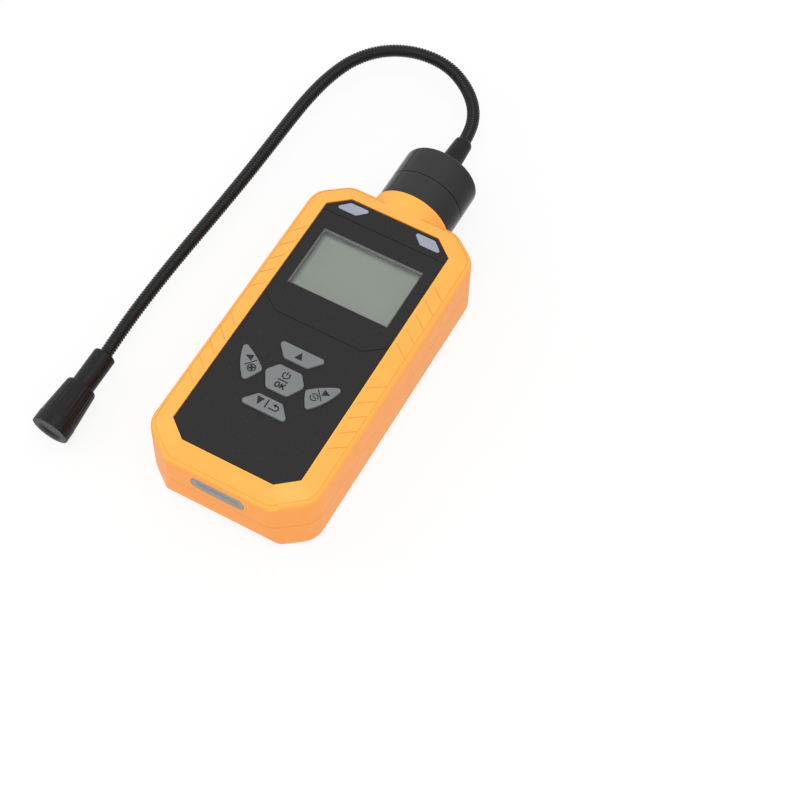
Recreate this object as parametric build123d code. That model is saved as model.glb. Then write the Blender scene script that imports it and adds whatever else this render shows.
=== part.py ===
from build123d import *
import math
import os

os.makedirs("parts", exist_ok=True)

# Handheld combustible gas detector with a gooseneck probe, lying on its flat back.
# Frame: origin at the centre of the flat back, +Z out of the front panel, +Y towards the
# sensor collar. Millimetres.

# Housing
BODY_WIDTH = 75.0
BODY_LENGTH = 149.0
BODY_DEPTH = 35.6
BODY_CUT_X = 14.2
BODY_CUT_Y = 10.8
TOP_CUT_X = 12.9
TOP_CUT_Y = 9.8
END_CORNER_R = 9.2
SIDE_CORNER_R = 10.5
BACK_EDGE_R = 5.5
LOW_END_BACK_R = 10.7
LOW_END_BROW_Z = 30.2
LOW_END_RUN = 8.75
WALL = 2.4
FLOOR = 2.4
SPLIT_Z = 17.8
RIM_RISE = 0.5
RIM_RUN = 8.6
RIM_DROP = 3.7
RIM_EDGE_R = 3.0
CREASE_INSET = 1.8
CREASE_WIDTH = 0.3
CREASE_DEPTH = 0.12

# Grip ticks cut in the side rims, set in from the sides and placed by their inner ends
TICK_PITCH = 7.8
TICK_COUNT = 5
TICK_WIDTH = 0.35
TICK_DEPTH = 0.14
TICK_INNER_SET = 7.7
TICK_OUTER_SET = 2.2
LOWER_TICK_Y = -11.0
LOWER_TICK_RISE = 5.6
UPPER_TICK_Y = 12.9
UPPER_TICK_RISE = -3.4

# Front panel
PANEL_SIDE_SET = 9.4
PANEL_END_SET = 9.0
PANEL_CUT_X = 8.05
PANEL_CUT_Y = 6.6
PANEL_THICK = 1.5
PANEL_GAP = 0.35
SHELF_THICK = 2.9
LINE_WIDTH = 0.4
LINE_DEPTH = 0.25
UPPER_LINE_SET = 9.3
LOWER_LINE_Y = 3.0
LOWER_LINE_END_Y = 9.2
LOWER_LINE_SET = 8.4

# Display
DISPLAY_WIDTH = 45.8
DISPLAY_LENGTH = 30.3
DISPLAY_SET = 32.7
DISPLAY_SINK = 1.3
FRAME_LIP = 0.3
FRAME_FACE = 0.5
WINDOW_THICK = 1.0
GLASS_THICK = 1.6
GLASS_MARGIN = 1.0
FIT = 0.1

# Alarm light windows
ALARM_SIDE_SET = 18.35
ALARM_SPAN = 9.8
ALARM_SLANT = 5.2
ALARM_TOP_SET = 1.2
ALARM_HEIGHT = 4.8
ALARM_CORNER_R = 0.9
ALARM_SINK = 0.1
LED_SIZE = 3.2
LED_HEIGHT = 1.4
LED_GAP = 0.2

# Keys
KEY_RISE = 0.8
KEY_TRAVEL = 0.6
KEY_GAP = 0.2
KEY_CORNER_R = 1.3
MID_KEY_CORNER_R = 2.0
KEY_EDGE = 0.45
KEY_FLANGE = 0.5
KEY_FLANGE_THICK = 0.8
FLANGE_GAP = 0.2
PAIR_KEY_WIDE = 11.2
PAIR_KEY_NARROW = 5.3
PAIR_KEY_HEIGHT = 6.8
UP_KEY_Y = -11.45
DOWN_KEY_Y = -36.9
MID_KEY_TOP_HALF = 5.0
MID_KEY_HALF = 8.8
MID_KEY_TOP_Y = -18.1
MID_KEY_MID_Y = -23.0
MID_KEY_BOTTOM_Y = -30.0
SIDE_KEY_TIP_X = 22.4
SIDE_KEY_TIP_Y = -15.7
SIDE_KEY_INNER_X = 9.6
SIDE_KEY_INNER_Y = -23.6
SIDE_KEY_LOW_X = 14.0
SIDE_KEY_LOW_Y = -31.5
SIDE_KEY_BULGE = 0.7
SIDE_KEY_OUTER_BULGE = 1.4

# Board and what it carries
BOARD_SIDE_GAP = 9.8
BOARD_END_GAP = 6.1
BOARD_THICK = 1.6
BOARD_CUT = 9.0
MAT_THICK = 1.0
DOME_RISE = 0.5
MAT_MARGIN = 2.0
POST_R = 2.4
POST_SIDE_SET = 3.8
POST_TOP_SET = 13.2
POST_LOW_SET = 8.0
BOARD_SCREW_R = 0.9
BOARD_HEAD_R = 1.9
BOARD_HEAD_THICK = 1.2
BOARD_SCREW_BITE = 2.4
BUZZER_R = 6.0
BUZZER_HEIGHT = 6.5
BUZZER_X = -14.0
BUZZER_Y = 42.0
MOTOR_R = 5.0
MOTOR_HEIGHT = 3.0
MOTOR_X = 14.0
MOTOR_Y = 42.0
LEAD_SOCKET_SIZE = 6.0
LEAD_SOCKET_HEIGHT = 4.5
LEAD_SOCKET_X = -14.0
LEAD_SOCKET_Y = 20.0

# Charging port in the bottom end
USB_WIDTH = 7.8
USB_HEIGHT = 2.9
USB_DEPTH = 5.6
USB_WALL = 0.4
USB_TONGUE = 0.7
PORT_GAP = 0.4
COVER_THICK = 1.6
COVER_GAP = 0.15
COVER_TOP_Z = 27.8
COVER_LOW_Z = 21.1
COVER_HALF = 11.8
COVER_TOP_CUT = 1.6
COVER_LOW_CUT = 2.9
COVER_RIDGE = 0.5
PAD_THICK = 1.6
PAD_MARGIN = 2.5

# Battery
BATTERY_WIDTH = 40.0
BATTERY_LENGTH = 52.0
BATTERY_THICK = 9.0
BATTERY_Y = -20.0
BATTERY_EDGE_R = 2.0
CRADLE_WALL = 1.4
CRADLE_HEIGHT = 5.0
CRADLE_GAP = 0.2
LEAD_R = 0.7
LEAD_DROP = 1.6
LEAD_BEND_R = 4.0

# Case screws and the brass insert for the belt clip
SCREW_SIDE_SET = 7.9
SCREW_END_SET = 18.5
SCREW_R = 1.2
SCREW_CLEAR_R = 1.6
SCREW_HEAD_R = 2.7
SCREW_HEAD_THICK = 1.9
SCREW_WELL_R = 3.1
SCREW_WELL_DEPTH = 5.0
SCREW_BITE = 9.0
BACK_BOSS_R = 4.5
FRONT_BOSS_R = 3.4
HEX_SOCKET = 2.0
INSERT_R = 2.8
INSERT_HOLE_R = 1.65
INSERT_LENGTH = 6.0
INSERT_Y = 36.0
INSERT_BOSS_R = 4.8

# Seal between the shells
SEAL_INSET = 0.85
SEAL_WIDTH = 0.7
SEAL_HEIGHT = 1.3
SEAL_FIT = 0.05

# Sensor collar, lower cap and upper cap, on one axis along Y at the split
COLLAR_R = 17.4
COLLAR_STAND = 5.7
COLLAR_ROOT = 12.0
CAP_R = 17.0
BASE_LENGTH = 12.2
CAP_LENGTH = 14.8
CAP_SEAM = 0.2
CAP_EDGE_R = 1.6
CAP_WALL = 2.4
SPIGOT_R = 13.0
SPIGOT_LENGTH = 10.0
SPIGOT_FIT = 0.15
BASE_BORE_R = 9.0
CAP_SPIGOT_R = 14.4
CAP_SPIGOT_LENGTH = 5.5
CAP_SPIGOT_WALL = 1.6
CAP_SEAL_R = 15.0
CAP_SEAL_WIDTH = 1.4
CAP_BOARD_R = 10.9
CAP_BOARD_THICK = 1.6
CAP_BOARD_SETBACK = 8.0
LINE_SOCKET = (8.0, 5.0, 5.0)
LINE_PLUG = (6.6, 4.0, 5.5)
DIMPLE_R = 0.9
DIMPLE_DEPTH = 0.5

# Gooseneck, from the sleeve on the cap to the sleeve of the probe
SLEEVE_LENGTH = 21.0
SLEEVE_BASE_R = 4.9
SLEEVE_TIP_R = 3.15
SLEEVE_FOOT_R = 6.2
SLEEVE_FOOT = 1.4
NECK_R = 2.8
NECK_FIT = 0.08
NECK_ROOT = 18.0
KNUCKLE_R = 3.1
KNUCKLE_GAP = 0.3
NECK_BITE = 9.0
NECK_ROUTE = [
    (0.0, 4.2, 0.0),
    (-3.7, 16.8, 0.0),
    (-12.8, 27.2, 0.0),
    (-26.1, 34.6, 0.0),
    (-41.5, 34.9, 0.0),
    (-55.4, 28.4, 0.0),
    (-64.8, 16.4, 0.0),
    (-69.2, 1.5, -0.1),
    (-71.0, -13.9, -0.1),
    (-71.5, -29.3, -0.2),
    (-71.8, -44.8, -0.2),
    (-72.2, -60.2, -0.3),
    (-72.9, -75.6, -0.5),
    (-73.9, -91.1, -0.9),
    (-75.0, -106.5, -1.4),
    (-75.9, -121.9, -2.0),
    (-76.6, -136.9, -2.9),
    (-76.9, -151.2, -4.0),
    (-76.8, -165.1, -5.4),
]
HEAD_AXIS = (-0.037, -0.9934, -0.1082)

# Probe, measured along its own axis from the top of its sleeve
PROBE_SLEEVE_R = 4.9
PROBE_SLEEVE_LENGTH = 16.4
PROBE_SLEEVE_EDGE = 0.7
HEAD_TOP_R = 6.6
HEAD_STEP_R = 8.0
HEAD_FACE_R = 8.15
FLUTED_LENGTH = 17.2
BAND_LENGTH = 5.4
HEAD_EDGE_R = 1.0
FLUTE_COUNT = 18
FLUTE_R = 0.8
FLUTE_DEPTH = 0.3
MOUTH_RING_R = 7.5
MOUTH_RING_THICK = 3.6
MOUTH_R = 5.6
MOUTH_DEPTH = 2.9
MOUTH_HOLE_R = 1.3
FILTER_R = 4.3
FILTER_THICK = 0.8
ELEMENT_R = 4.2
ELEMENT_LENGTH = 7.5

HALF_WIDTH = BODY_WIDTH / 2
HALF_LENGTH = BODY_LENGTH / 2
PANEL_WIDTH = BODY_WIDTH - 2 * PANEL_SIDE_SET
PANEL_LENGTH = BODY_LENGTH - 2 * PANEL_END_SET
UPPER_LINE_Y = PANEL_LENGTH / 2 - UPPER_LINE_SET
LOWER_LINE_HALF = PANEL_WIDTH / 2 - LOWER_LINE_SET
DISPLAY_Y = PANEL_LENGTH / 2 - DISPLAY_SET
ALARM_INNER_X = PANEL_WIDTH / 2 - ALARM_SIDE_SET
ALARM_TOP_Y = PANEL_LENGTH / 2 - ALARM_TOP_SET
ALARM_BOTTOM_Y = ALARM_TOP_Y - ALARM_HEIGHT
TICK_INNER_X = HALF_WIDTH - TICK_INNER_SET
TICK_OUTER_X = HALF_WIDTH - TICK_OUTER_SET
BOARD_WIDTH = BODY_WIDTH - 2 * (WALL + BOARD_SIDE_GAP)
BOARD_LENGTH = BODY_LENGTH - 2 * (WALL + BOARD_END_GAP)
POST_X = BOARD_WIDTH / 2 - POST_SIDE_SET
POST_UP_Y = BOARD_LENGTH / 2 - POST_TOP_SET
POST_LOW_Y = POST_LOW_SET - BOARD_LENGTH / 2
SCREW_X = HALF_WIDTH - SCREW_SIDE_SET
SCREW_Y = HALF_LENGTH - SCREW_END_SET
PANEL_SEAT_Z = BODY_DEPTH - PANEL_THICK
SHELF_Z = PANEL_SEAT_Z - SHELF_THICK
KEY_LOW_Z = SHELF_Z - FLANGE_GAP - KEY_FLANGE_THICK
MAT_TOP_Z = KEY_LOW_Z - KEY_TRAVEL - 0.1
BOARD_TOP_Z = MAT_TOP_Z - DOME_RISE - MAT_THICK
BOARD_LOW_Z = BOARD_TOP_Z - BOARD_THICK
AXIS_Z = SPLIT_Z
COLLAR_END_Y = HALF_LENGTH + COLLAR_STAND
BASE_END_Y = COLLAR_END_Y + CAP_SEAM + BASE_LENGTH
CAP_END_Y = BASE_END_Y + CAP_SEAM + CAP_LENGTH
SLEEVE_END_Y = CAP_END_Y + SLEEVE_LENGTH


def save(node, shape):
    """Write one piece to its own STEP file."""
    export_step(shape, f"parts/{node}.step")


def octagon(width, length, cut_x, cut_y, top_cut=None):
    """Rectangle with its four corners cut off, centred on the origin."""
    x = width / 2
    y = length / 2
    top_x, top_y = top_cut or (cut_x, cut_y)
    quarter = [(x - top_x, y), (x, y - top_y), (x, cut_y - y), (x - cut_x, -y)]
    points = quarter + [(-px, py) for px, py in reversed(quarter)]
    return Polygon(*points, align=None)


def slab(face, low, high):
    """Prism of a flat outline between two heights."""
    return extrude(Pos(0, 0, low) * face, amount=high - low, dir=(0, 0, 1))


def box_between(low, high):
    """Box from its lowest to its highest corner."""
    size = [b - a for a, b in zip(low, high)]
    middle = [(a + b) / 2 for a, b in zip(low, high)]
    return Pos(*middle) * Box(*size)


def along_y(radius, start, end):
    """Cylinder on the collar axis between two places along Y."""
    plane = Plane(origin=(0, start, AXIS_Z), x_dir=(1, 0, 0), z_dir=(0, 1, 0))
    return extrude(plane * Circle(radius), amount=end - start)


def post(x, y, radius, low, high):
    """Upright cylinder."""
    return slab(Pos(x, y) * Circle(radius), low, high)


def housing_outline(inset=0.0):
    """Outline of the housing, or a line inside it."""
    face = octagon(BODY_WIDTH, BODY_LENGTH, BODY_CUT_X, BODY_CUT_Y, (TOP_CUT_X, TOP_CUT_Y))
    ends = [v for v in face.vertices() if abs(v.Y) > HALF_LENGTH - 0.01]
    face = fillet(ends, END_CORNER_R)
    sides = [v for v in face.vertices() if abs(abs(v.X) - HALF_WIDTH) < 0.01]
    face = fillet(sides, SIDE_CORNER_R)
    if inset:
        face = offset(face, amount=-inset)
    return face


def low_end_form(inset=0.0):
    """Solid that trims the bottom end: round at the back, a steeper slope at the rim."""
    wall_y = -HALF_LENGTH
    rim_z = BODY_DEPTH + RIM_RISE
    high_z = LOW_END_BROW_Z + 2 * (rim_z - LOW_END_BROW_Z)
    face = Polygon(
        (wall_y, 0),
        (wall_y, LOW_END_BROW_Z),
        (wall_y + 2 * LOW_END_RUN, high_z),
        (2 * HALF_LENGTH, high_z),
        (2 * HALF_LENGTH, 0),
        align=None,
    )
    low = [v for v in face.vertices() if v.X < wall_y + 0.01 and v.Y < 0.01]
    face = fillet(low, LOW_END_BACK_R)
    brow = [v for v in face.vertices() if abs(v.X - wall_y) < 0.01 and abs(v.Y - LOW_END_BROW_Z) < 0.01]
    face = fillet(brow, RIM_EDGE_R)
    if inset:
        face = offset(face, amount=-inset)
    return extrude(Plane.YZ * face, amount=BODY_WIDTH, both=True)


def panel_outline(grow=0.0):
    """Outline of the front panel, or the pocket round it."""
    face = octagon(PANEL_WIDTH, PANEL_LENGTH, PANEL_CUT_X, PANEL_CUT_Y)
    if grow:
        face = offset(face, amount=grow, kind=Kind.INTERSECTION)
    return face


def arc_side(start, end, bulge):
    """Arc between two points that swells by bulge to the right of the way."""
    dx = end[0] - start[0]
    dy = end[1] - start[1]
    run = math.hypot(dx, dy)
    middle = ((start[0] + end[0]) / 2 + dy / run * bulge, (start[1] + end[1]) / 2 - dx / run * bulge)
    return ThreePointArc(start, middle, end)


def pair_key_face(y, up):
    """Trapezoid key, wide end away from the centre key."""
    wide_y = y + PAIR_KEY_HEIGHT / 2 * up
    narrow_y = y - PAIR_KEY_HEIGHT / 2 * up
    return Polygon(
        (-PAIR_KEY_WIDE, wide_y),
        (-PAIR_KEY_NARROW, narrow_y),
        (PAIR_KEY_NARROW, narrow_y),
        (PAIR_KEY_WIDE, wide_y),
        align=None,
    )


def mid_key_face():
    """Six-sided centre key."""
    low_half = MID_KEY_TOP_HALF - 0.3
    return Polygon(
        (-MID_KEY_TOP_HALF, MID_KEY_TOP_Y),
        (-MID_KEY_HALF, MID_KEY_MID_Y),
        (-low_half, MID_KEY_BOTTOM_Y),
        (low_half, MID_KEY_BOTTOM_Y),
        (MID_KEY_HALF, MID_KEY_MID_Y),
        (MID_KEY_TOP_HALF, MID_KEY_TOP_Y),
        align=None,
    )


def side_key_face(side):
    """Three-sided key with slightly swollen edges."""
    tip = (SIDE_KEY_TIP_X, SIDE_KEY_TIP_Y)
    inner = (SIDE_KEY_INNER_X, SIDE_KEY_INNER_Y)
    low = (SIDE_KEY_LOW_X, SIDE_KEY_LOW_Y)
    rim = Curve() + [
        arc_side(inner, low, SIDE_KEY_BULGE / 2),
        arc_side(low, tip, SIDE_KEY_OUTER_BULGE),
        arc_side(tip, inner, SIDE_KEY_BULGE),
    ]
    face = make_face(rim)
    if side < 0:
        face = mirror(face, about=Plane.YZ)
    return face


KEY_FACES = {
    "up_key": pair_key_face(UP_KEY_Y, 1),
    "centre_key": mid_key_face(),
    "down_key": pair_key_face(DOWN_KEY_Y, -1),
    "left_key": side_key_face(-1),
    "right_key": side_key_face(1),
}
CORNER_RADII = {name: KEY_CORNER_R for name in KEY_FACES} | {"centre_key": MID_KEY_CORNER_R}
KEY_FACES = {name: fillet(face.vertices(), CORNER_RADII[name]) for name, face in KEY_FACES.items()}


def key_holes():
    """Outlines of the openings that the keys slide in."""
    return [offset(face, amount=KEY_GAP) for face in KEY_FACES.values()]


def alarm_face(side, grow=0.0):
    """Slanted light window beside one top corner of the panel."""
    face = Polygon(
        (ALARM_INNER_X, ALARM_TOP_Y),
        (ALARM_INNER_X + ALARM_SLANT, ALARM_BOTTOM_Y),
        (ALARM_INNER_X + ALARM_SLANT + ALARM_SPAN, ALARM_BOTTOM_Y),
        (ALARM_INNER_X + ALARM_SPAN, ALARM_TOP_Y),
        align=None,
    )
    face = fillet(face.vertices(), ALARM_CORNER_R)
    if grow:
        face = offset(face, amount=grow)
    if side < 0:
        face = mirror(face, about=Plane.YZ)
    return face


def display_face(inset=0.0):
    """Display opening in the panel, or a line inside it."""
    return Pos(0, DISPLAY_Y) * Rectangle(DISPLAY_WIDTH - 2 * inset, DISPLAY_LENGTH - 2 * inset)


SCREW_PLACES = [(x, y) for x in (-SCREW_X, SCREW_X) for y in (-SCREW_Y, SCREW_Y)]
POST_PLACES = [(x, y) for x in (-POST_X, POST_X) for y in (POST_LOW_Y, POST_UP_Y)]


def seal_ring(extra=0.0):
    """Closed band that the seal fills, with its groove a little larger."""
    outer = housing_outline(SEAL_INSET - extra)
    inner = housing_outline(SEAL_INSET + SEAL_WIDTH + extra)
    half = SEAL_HEIGHT / 2 + extra
    return slab(outer - inner, SPLIT_Z - half, SPLIT_Z + half)


def cover_face(grow=0.0):
    """Outline of the port cover in the XZ plane of the bottom end."""
    points = [
        (COVER_HALF - COVER_TOP_CUT, COVER_TOP_Z),
        (COVER_HALF, COVER_TOP_Z - COVER_TOP_CUT * 1.6),
        (COVER_HALF - 0.4, COVER_LOW_Z + 1.3),
        (COVER_HALF - COVER_LOW_CUT, COVER_LOW_Z),
    ]
    face = Polygon(*(points + [(-x, z) for x, z in reversed(points)]), align=None)
    face = fillet(face.vertices(), 0.5)
    if grow:
        face = offset(face, amount=grow)
    return face


def end_slab(face, depth_from, depth_to):
    """Prism of an XZ outline, measured inwards from the bottom end."""
    plane = Plane(origin=(0, -HALF_LENGTH + depth_to, 0), x_dir=(1, 0, 0), z_dir=(0, -1, 0))
    return extrude(plane * face, amount=depth_to - depth_from, dir=(0, -1, 0))


def tick_outlines():
    """Thin outlines of the grip ticks on both side rims."""
    outlines = []
    for start, rise, step in (
        (LOWER_TICK_Y, LOWER_TICK_RISE, -TICK_PITCH),
        (UPPER_TICK_Y, UPPER_TICK_RISE, TICK_PITCH),
    ):
        run = TICK_OUTER_X - TICK_INNER_X
        turn = math.degrees(math.atan2(rise, run))
        for index in range(TICK_COUNT):
            middle_y = start + rise / 2 + step * index
            for side in (-1, 1):
                place = Pos(side * (TICK_INNER_X + run / 2), middle_y) * Rot(0, 0, side * turn)
                outlines.append(place * Rectangle(math.hypot(run, rise), TICK_WIDTH))
    return outlines


def score(outline, form, depth):
    """Cutter that scores an outline in the top of a form, as deep everywhere."""
    return slab(outline, SPLIT_Z + WALL, BODY_DEPTH + 2) - Pos(0, 0, -depth) * form


def build_front_shell():
    """Front half of the housing with its sloped rim, panel pocket and bosses."""
    top_z = BODY_DEPTH + RIM_RISE
    shoulder_z = top_z - RIM_DROP
    shell = slab(housing_outline(), SPLIT_Z, shoulder_z)
    shell += loft(
        [Pos(0, 0, shoulder_z) * housing_outline().face(), Pos(0, 0, top_z) * housing_outline(RIM_RUN).face()],
        ruled=True)
    brow = [e for e in shell.edges() if abs(e.center().Z - shoulder_z) < 0.01
            and e.bounding_box().size.Z < 0.01]
    form = fillet(brow, RIM_EDGE_R) & low_end_form()
    crease = housing_outline(CREASE_INSET) - housing_outline(CREASE_INSET + CREASE_WIDTH)
    shell = form - score(crease, form, CREASE_DEPTH)
    for tick in tick_outlines():
        shell -= score(tick, form, TICK_DEPTH)
    collar = along_y(COLLAR_R, HALF_LENGTH - COLLAR_ROOT, COLLAR_END_Y)
    upper = box_between((-2 * COLLAR_R, 0, SPLIT_Z), (2 * COLLAR_R, COLLAR_END_Y + 1, SPLIT_Z + 2 * COLLAR_R))
    shell = shell + (collar & upper)
    shell -= slab(housing_outline(WALL), SPLIT_Z, SHELF_Z) & low_end_form(WALL)
    shell -= slab(panel_outline(PANEL_GAP), PANEL_SEAT_Z, top_z + 1)
    shell += end_slab(cover_face(PAD_MARGIN), WALL, WALL + PAD_THICK)
    shell -= end_slab(cover_face(COVER_GAP), -1, COVER_THICK + COVER_GAP)
    slot = Pos(0, BOARD_LOW_Z - USB_HEIGHT / 2) * Rectangle(
        USB_WIDTH + 2 * PORT_GAP, USB_HEIGHT + 2 * PORT_GAP)
    shell -= end_slab(slot, 0, WALL + PAD_THICK + 1)
    for x, y in SCREW_PLACES:
        shell += post(x, y, FRONT_BOSS_R, SPLIT_Z, SHELF_Z + 0.5)
        shell -= post(x, y, SCREW_R + FIT / 2, SPLIT_Z, SPLIT_Z + SCREW_BITE + 0.5)
    for x, y in POST_PLACES:
        shell += post(x, y, POST_R, BOARD_TOP_Z, SHELF_Z + 0.5)
        shell -= post(x, y, BOARD_SCREW_R + FIT / 2, BOARD_TOP_Z, BOARD_TOP_Z + BOARD_SCREW_BITE + 0.3)
    shell -= along_y(SPIGOT_R + SPIGOT_FIT, HALF_LENGTH - COLLAR_ROOT, COLLAR_END_Y + 1)
    shell -= seal_ring(SEAL_FIT)
    shell -= slab(display_face(-GLASS_MARGIN - FIT), SHELF_Z - 1, PANEL_SEAT_Z)
    for face in key_holes():
        shell -= slab(face, SHELF_Z - 1, PANEL_SEAT_Z + 1)
    for side in (-1, 1):
        shell -= slab(alarm_face(side, FIT), SHELF_Z - 1, PANEL_SEAT_Z + 1)
    return shell


def build_back_shell():
    """Back half of the housing with its wells, cradle and clip boss."""
    shell = slab(housing_outline(), 0, SPLIT_Z)
    shell = fillet(shell.faces().sort_by(Axis.Z)[0].edges(), BACK_EDGE_R) & low_end_form()
    lower = box_between((-2 * COLLAR_R, 0, SPLIT_Z - 2 * COLLAR_R), (2 * COLLAR_R, COLLAR_END_Y + 1, SPLIT_Z))
    shell = shell + (along_y(COLLAR_R, HALF_LENGTH - COLLAR_ROOT, COLLAR_END_Y) & lower)
    hollow = slab(housing_outline(WALL), FLOOR, SPLIT_Z)
    hollow = fillet(hollow.faces().sort_by(Axis.Z)[0].edges(), BACK_EDGE_R - WALL)
    shell -= hollow & low_end_form(WALL)
    cradle = Rectangle(BATTERY_WIDTH + 2 * (CRADLE_GAP + CRADLE_WALL),
                       BATTERY_LENGTH + 2 * (CRADLE_GAP + CRADLE_WALL))
    cradle -= Rectangle(BATTERY_WIDTH + 2 * CRADLE_GAP, BATTERY_LENGTH + 2 * CRADLE_GAP)
    shell += slab(Pos(0, BATTERY_Y) * cradle, FLOOR - 0.5, FLOOR + CRADLE_HEIGHT)
    shell += post(0, INSERT_Y, INSERT_BOSS_R, FLOOR - 0.5, INSERT_LENGTH + FLOOR)
    shell -= post(0, INSERT_Y, INSERT_R, -1, INSERT_LENGTH)
    for x, y in SCREW_PLACES:
        shell += post(x, y, BACK_BOSS_R, FLOOR - 0.5, SPLIT_Z)
        shell -= post(x, y, SCREW_WELL_R, -1, SCREW_WELL_DEPTH)
        shell -= post(x, y, SCREW_CLEAR_R, 0, SPLIT_Z + 1)
    shell -= along_y(SPIGOT_R + SPIGOT_FIT, HALF_LENGTH - COLLAR_ROOT, COLLAR_END_Y + 1)
    shell -= seal_ring(SEAL_FIT)
    return shell


def build_front_panel():
    """Front panel with its openings and two shallow lines."""
    panel = slab(panel_outline(), PANEL_SEAT_Z, BODY_DEPTH)
    panel -= slab(display_face(), PANEL_SEAT_Z - 1, BODY_DEPTH + 1)
    for face in key_holes():
        panel -= slab(face, PANEL_SEAT_Z - 1, BODY_DEPTH + 1)
    for side in (-1, 1):
        panel -= slab(alarm_face(side, FIT), PANEL_SEAT_Z - 1, BODY_DEPTH + 1)
    half = PANEL_WIDTH / 2
    upper = Pos(0, UPPER_LINE_Y) * Rectangle(PANEL_WIDTH + 1, LINE_WIDTH)
    wave = Polyline(
        (-half - 0.1, LOWER_LINE_END_Y),
        (-LOWER_LINE_HALF, LOWER_LINE_Y),
        (LOWER_LINE_HALF, LOWER_LINE_Y),
        (half + 0.1, LOWER_LINE_END_Y),
    )
    lower = trace(wave, LINE_WIDTH)
    for line in (upper, lower):
        panel -= slab(line, BODY_DEPTH - LINE_DEPTH, BODY_DEPTH + 1)
    return panel


save("front_shell", build_front_shell())
save("back_shell", build_back_shell())
save("front_panel", build_front_panel())
seal_clear = along_y(SPIGOT_R + SPIGOT_FIT + FIT, 0, COLLAR_END_Y + 1)
save("shell_seal", seal_ring() - seal_clear)

# Display stack: frame and clear window in the panel opening, glass and backlight below
window_top = BODY_DEPTH - DISPLAY_SINK
window_low = window_top - WINDOW_THICK
glass_low = window_low - GLASS_THICK
frame_top = BODY_DEPTH - 0.15
frame_outer = display_face(FIT)
frame_solid = slab(frame_outer, window_low, frame_top)
mouth = loft([
    Pos(0, 0, window_top) * display_face(FRAME_FACE).face(),
    Pos(0, 0, frame_top) * display_face(FRAME_LIP).face(),
])
frame_solid -= slab(display_face(FRAME_FACE), window_low - 1, window_top)
frame_solid -= mouth
save("display_frame", frame_solid)
save("display_window", slab(display_face(FRAME_FACE + FIT), window_low, window_top))
save("display_glass", slab(display_face(-GLASS_MARGIN), glass_low, window_low))
save("display_backlight", slab(display_face(-GLASS_MARGIN + 0.6), BOARD_TOP_Z, glass_low))

# Keys and the rubber mat that springs them
for name, face in KEY_FACES.items():
    key = slab(face, KEY_LOW_Z, BODY_DEPTH + KEY_RISE)
    key = fillet(key.faces().sort_by(Axis.Z)[-1].edges(), KEY_EDGE)
    flange = offset(face, amount=KEY_GAP + KEY_FLANGE)
    key += slab(flange, KEY_LOW_Z, KEY_LOW_Z + KEY_FLANGE_THICK)
    save(name, key)
mat_top_y = UP_KEY_Y + PAIR_KEY_HEIGHT / 2 + MAT_MARGIN
mat_low_y = DOWN_KEY_Y - PAIR_KEY_HEIGHT / 2 - MAT_MARGIN
mat_face = Pos(0, (mat_top_y + mat_low_y) / 2) * RectangleRounded(
    2 * (SIDE_KEY_TIP_X + MAT_MARGIN), mat_top_y - mat_low_y, 3.0)
mat = slab(mat_face, BOARD_TOP_Z, BOARD_TOP_Z + MAT_THICK)
for face in KEY_FACES.values():
    mat += slab(offset(face, amount=-1.0), BOARD_TOP_Z, MAT_TOP_Z)
save("key_mat", mat)

# Alarm lights
for side, name in ((-1, "left"), (1, "right")):
    guide_low = BOARD_TOP_Z + LED_HEIGHT + LED_GAP
    save(f"{name}_alarm_window", slab(alarm_face(side), guide_low, BODY_DEPTH - ALARM_SINK))
    led_x = side * (ALARM_INNER_X + (ALARM_SLANT + ALARM_SPAN) / 2)
    led_y = (ALARM_TOP_Y + ALARM_BOTTOM_Y) / 2
    save(f"{name}_alarm_light", slab(
        Pos(led_x, led_y) * Rectangle(LED_SIZE, LED_SIZE), BOARD_TOP_Z, BOARD_TOP_Z + LED_HEIGHT))

# Main board with what is soldered to its lower side
board_face = octagon(BOARD_WIDTH, BOARD_LENGTH, BOARD_CUT, BOARD_CUT)
board = slab(board_face, BOARD_LOW_Z, BOARD_TOP_Z)
for x, y in POST_PLACES:
    board -= post(x, y, BOARD_SCREW_R + FIT / 2, BOARD_LOW_Z - 1, BOARD_TOP_Z + 1)
save("main_board", board)
for number, (x, y) in enumerate(POST_PLACES, start=1):
    screw = post(x, y, BOARD_HEAD_R, BOARD_LOW_Z - BOARD_HEAD_THICK, BOARD_LOW_Z)
    screw += post(x, y, BOARD_SCREW_R, BOARD_LOW_Z, BOARD_TOP_Z + BOARD_SCREW_BITE)
    save(f"board_screw_{number}", screw)
save("buzzer", post(BUZZER_X, BUZZER_Y, BUZZER_R, BOARD_LOW_Z - BUZZER_HEIGHT, BOARD_LOW_Z))
save("vibration_motor", post(MOTOR_X, MOTOR_Y, MOTOR_R, BOARD_LOW_Z - MOTOR_HEIGHT, BOARD_LOW_Z))
socket_low = BOARD_LOW_Z - LEAD_SOCKET_HEIGHT
save("battery_socket", slab(
    Pos(LEAD_SOCKET_X, LEAD_SOCKET_Y) * Rectangle(LEAD_SOCKET_SIZE, LEAD_SOCKET_SIZE),
    socket_low, BOARD_LOW_Z))

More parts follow.
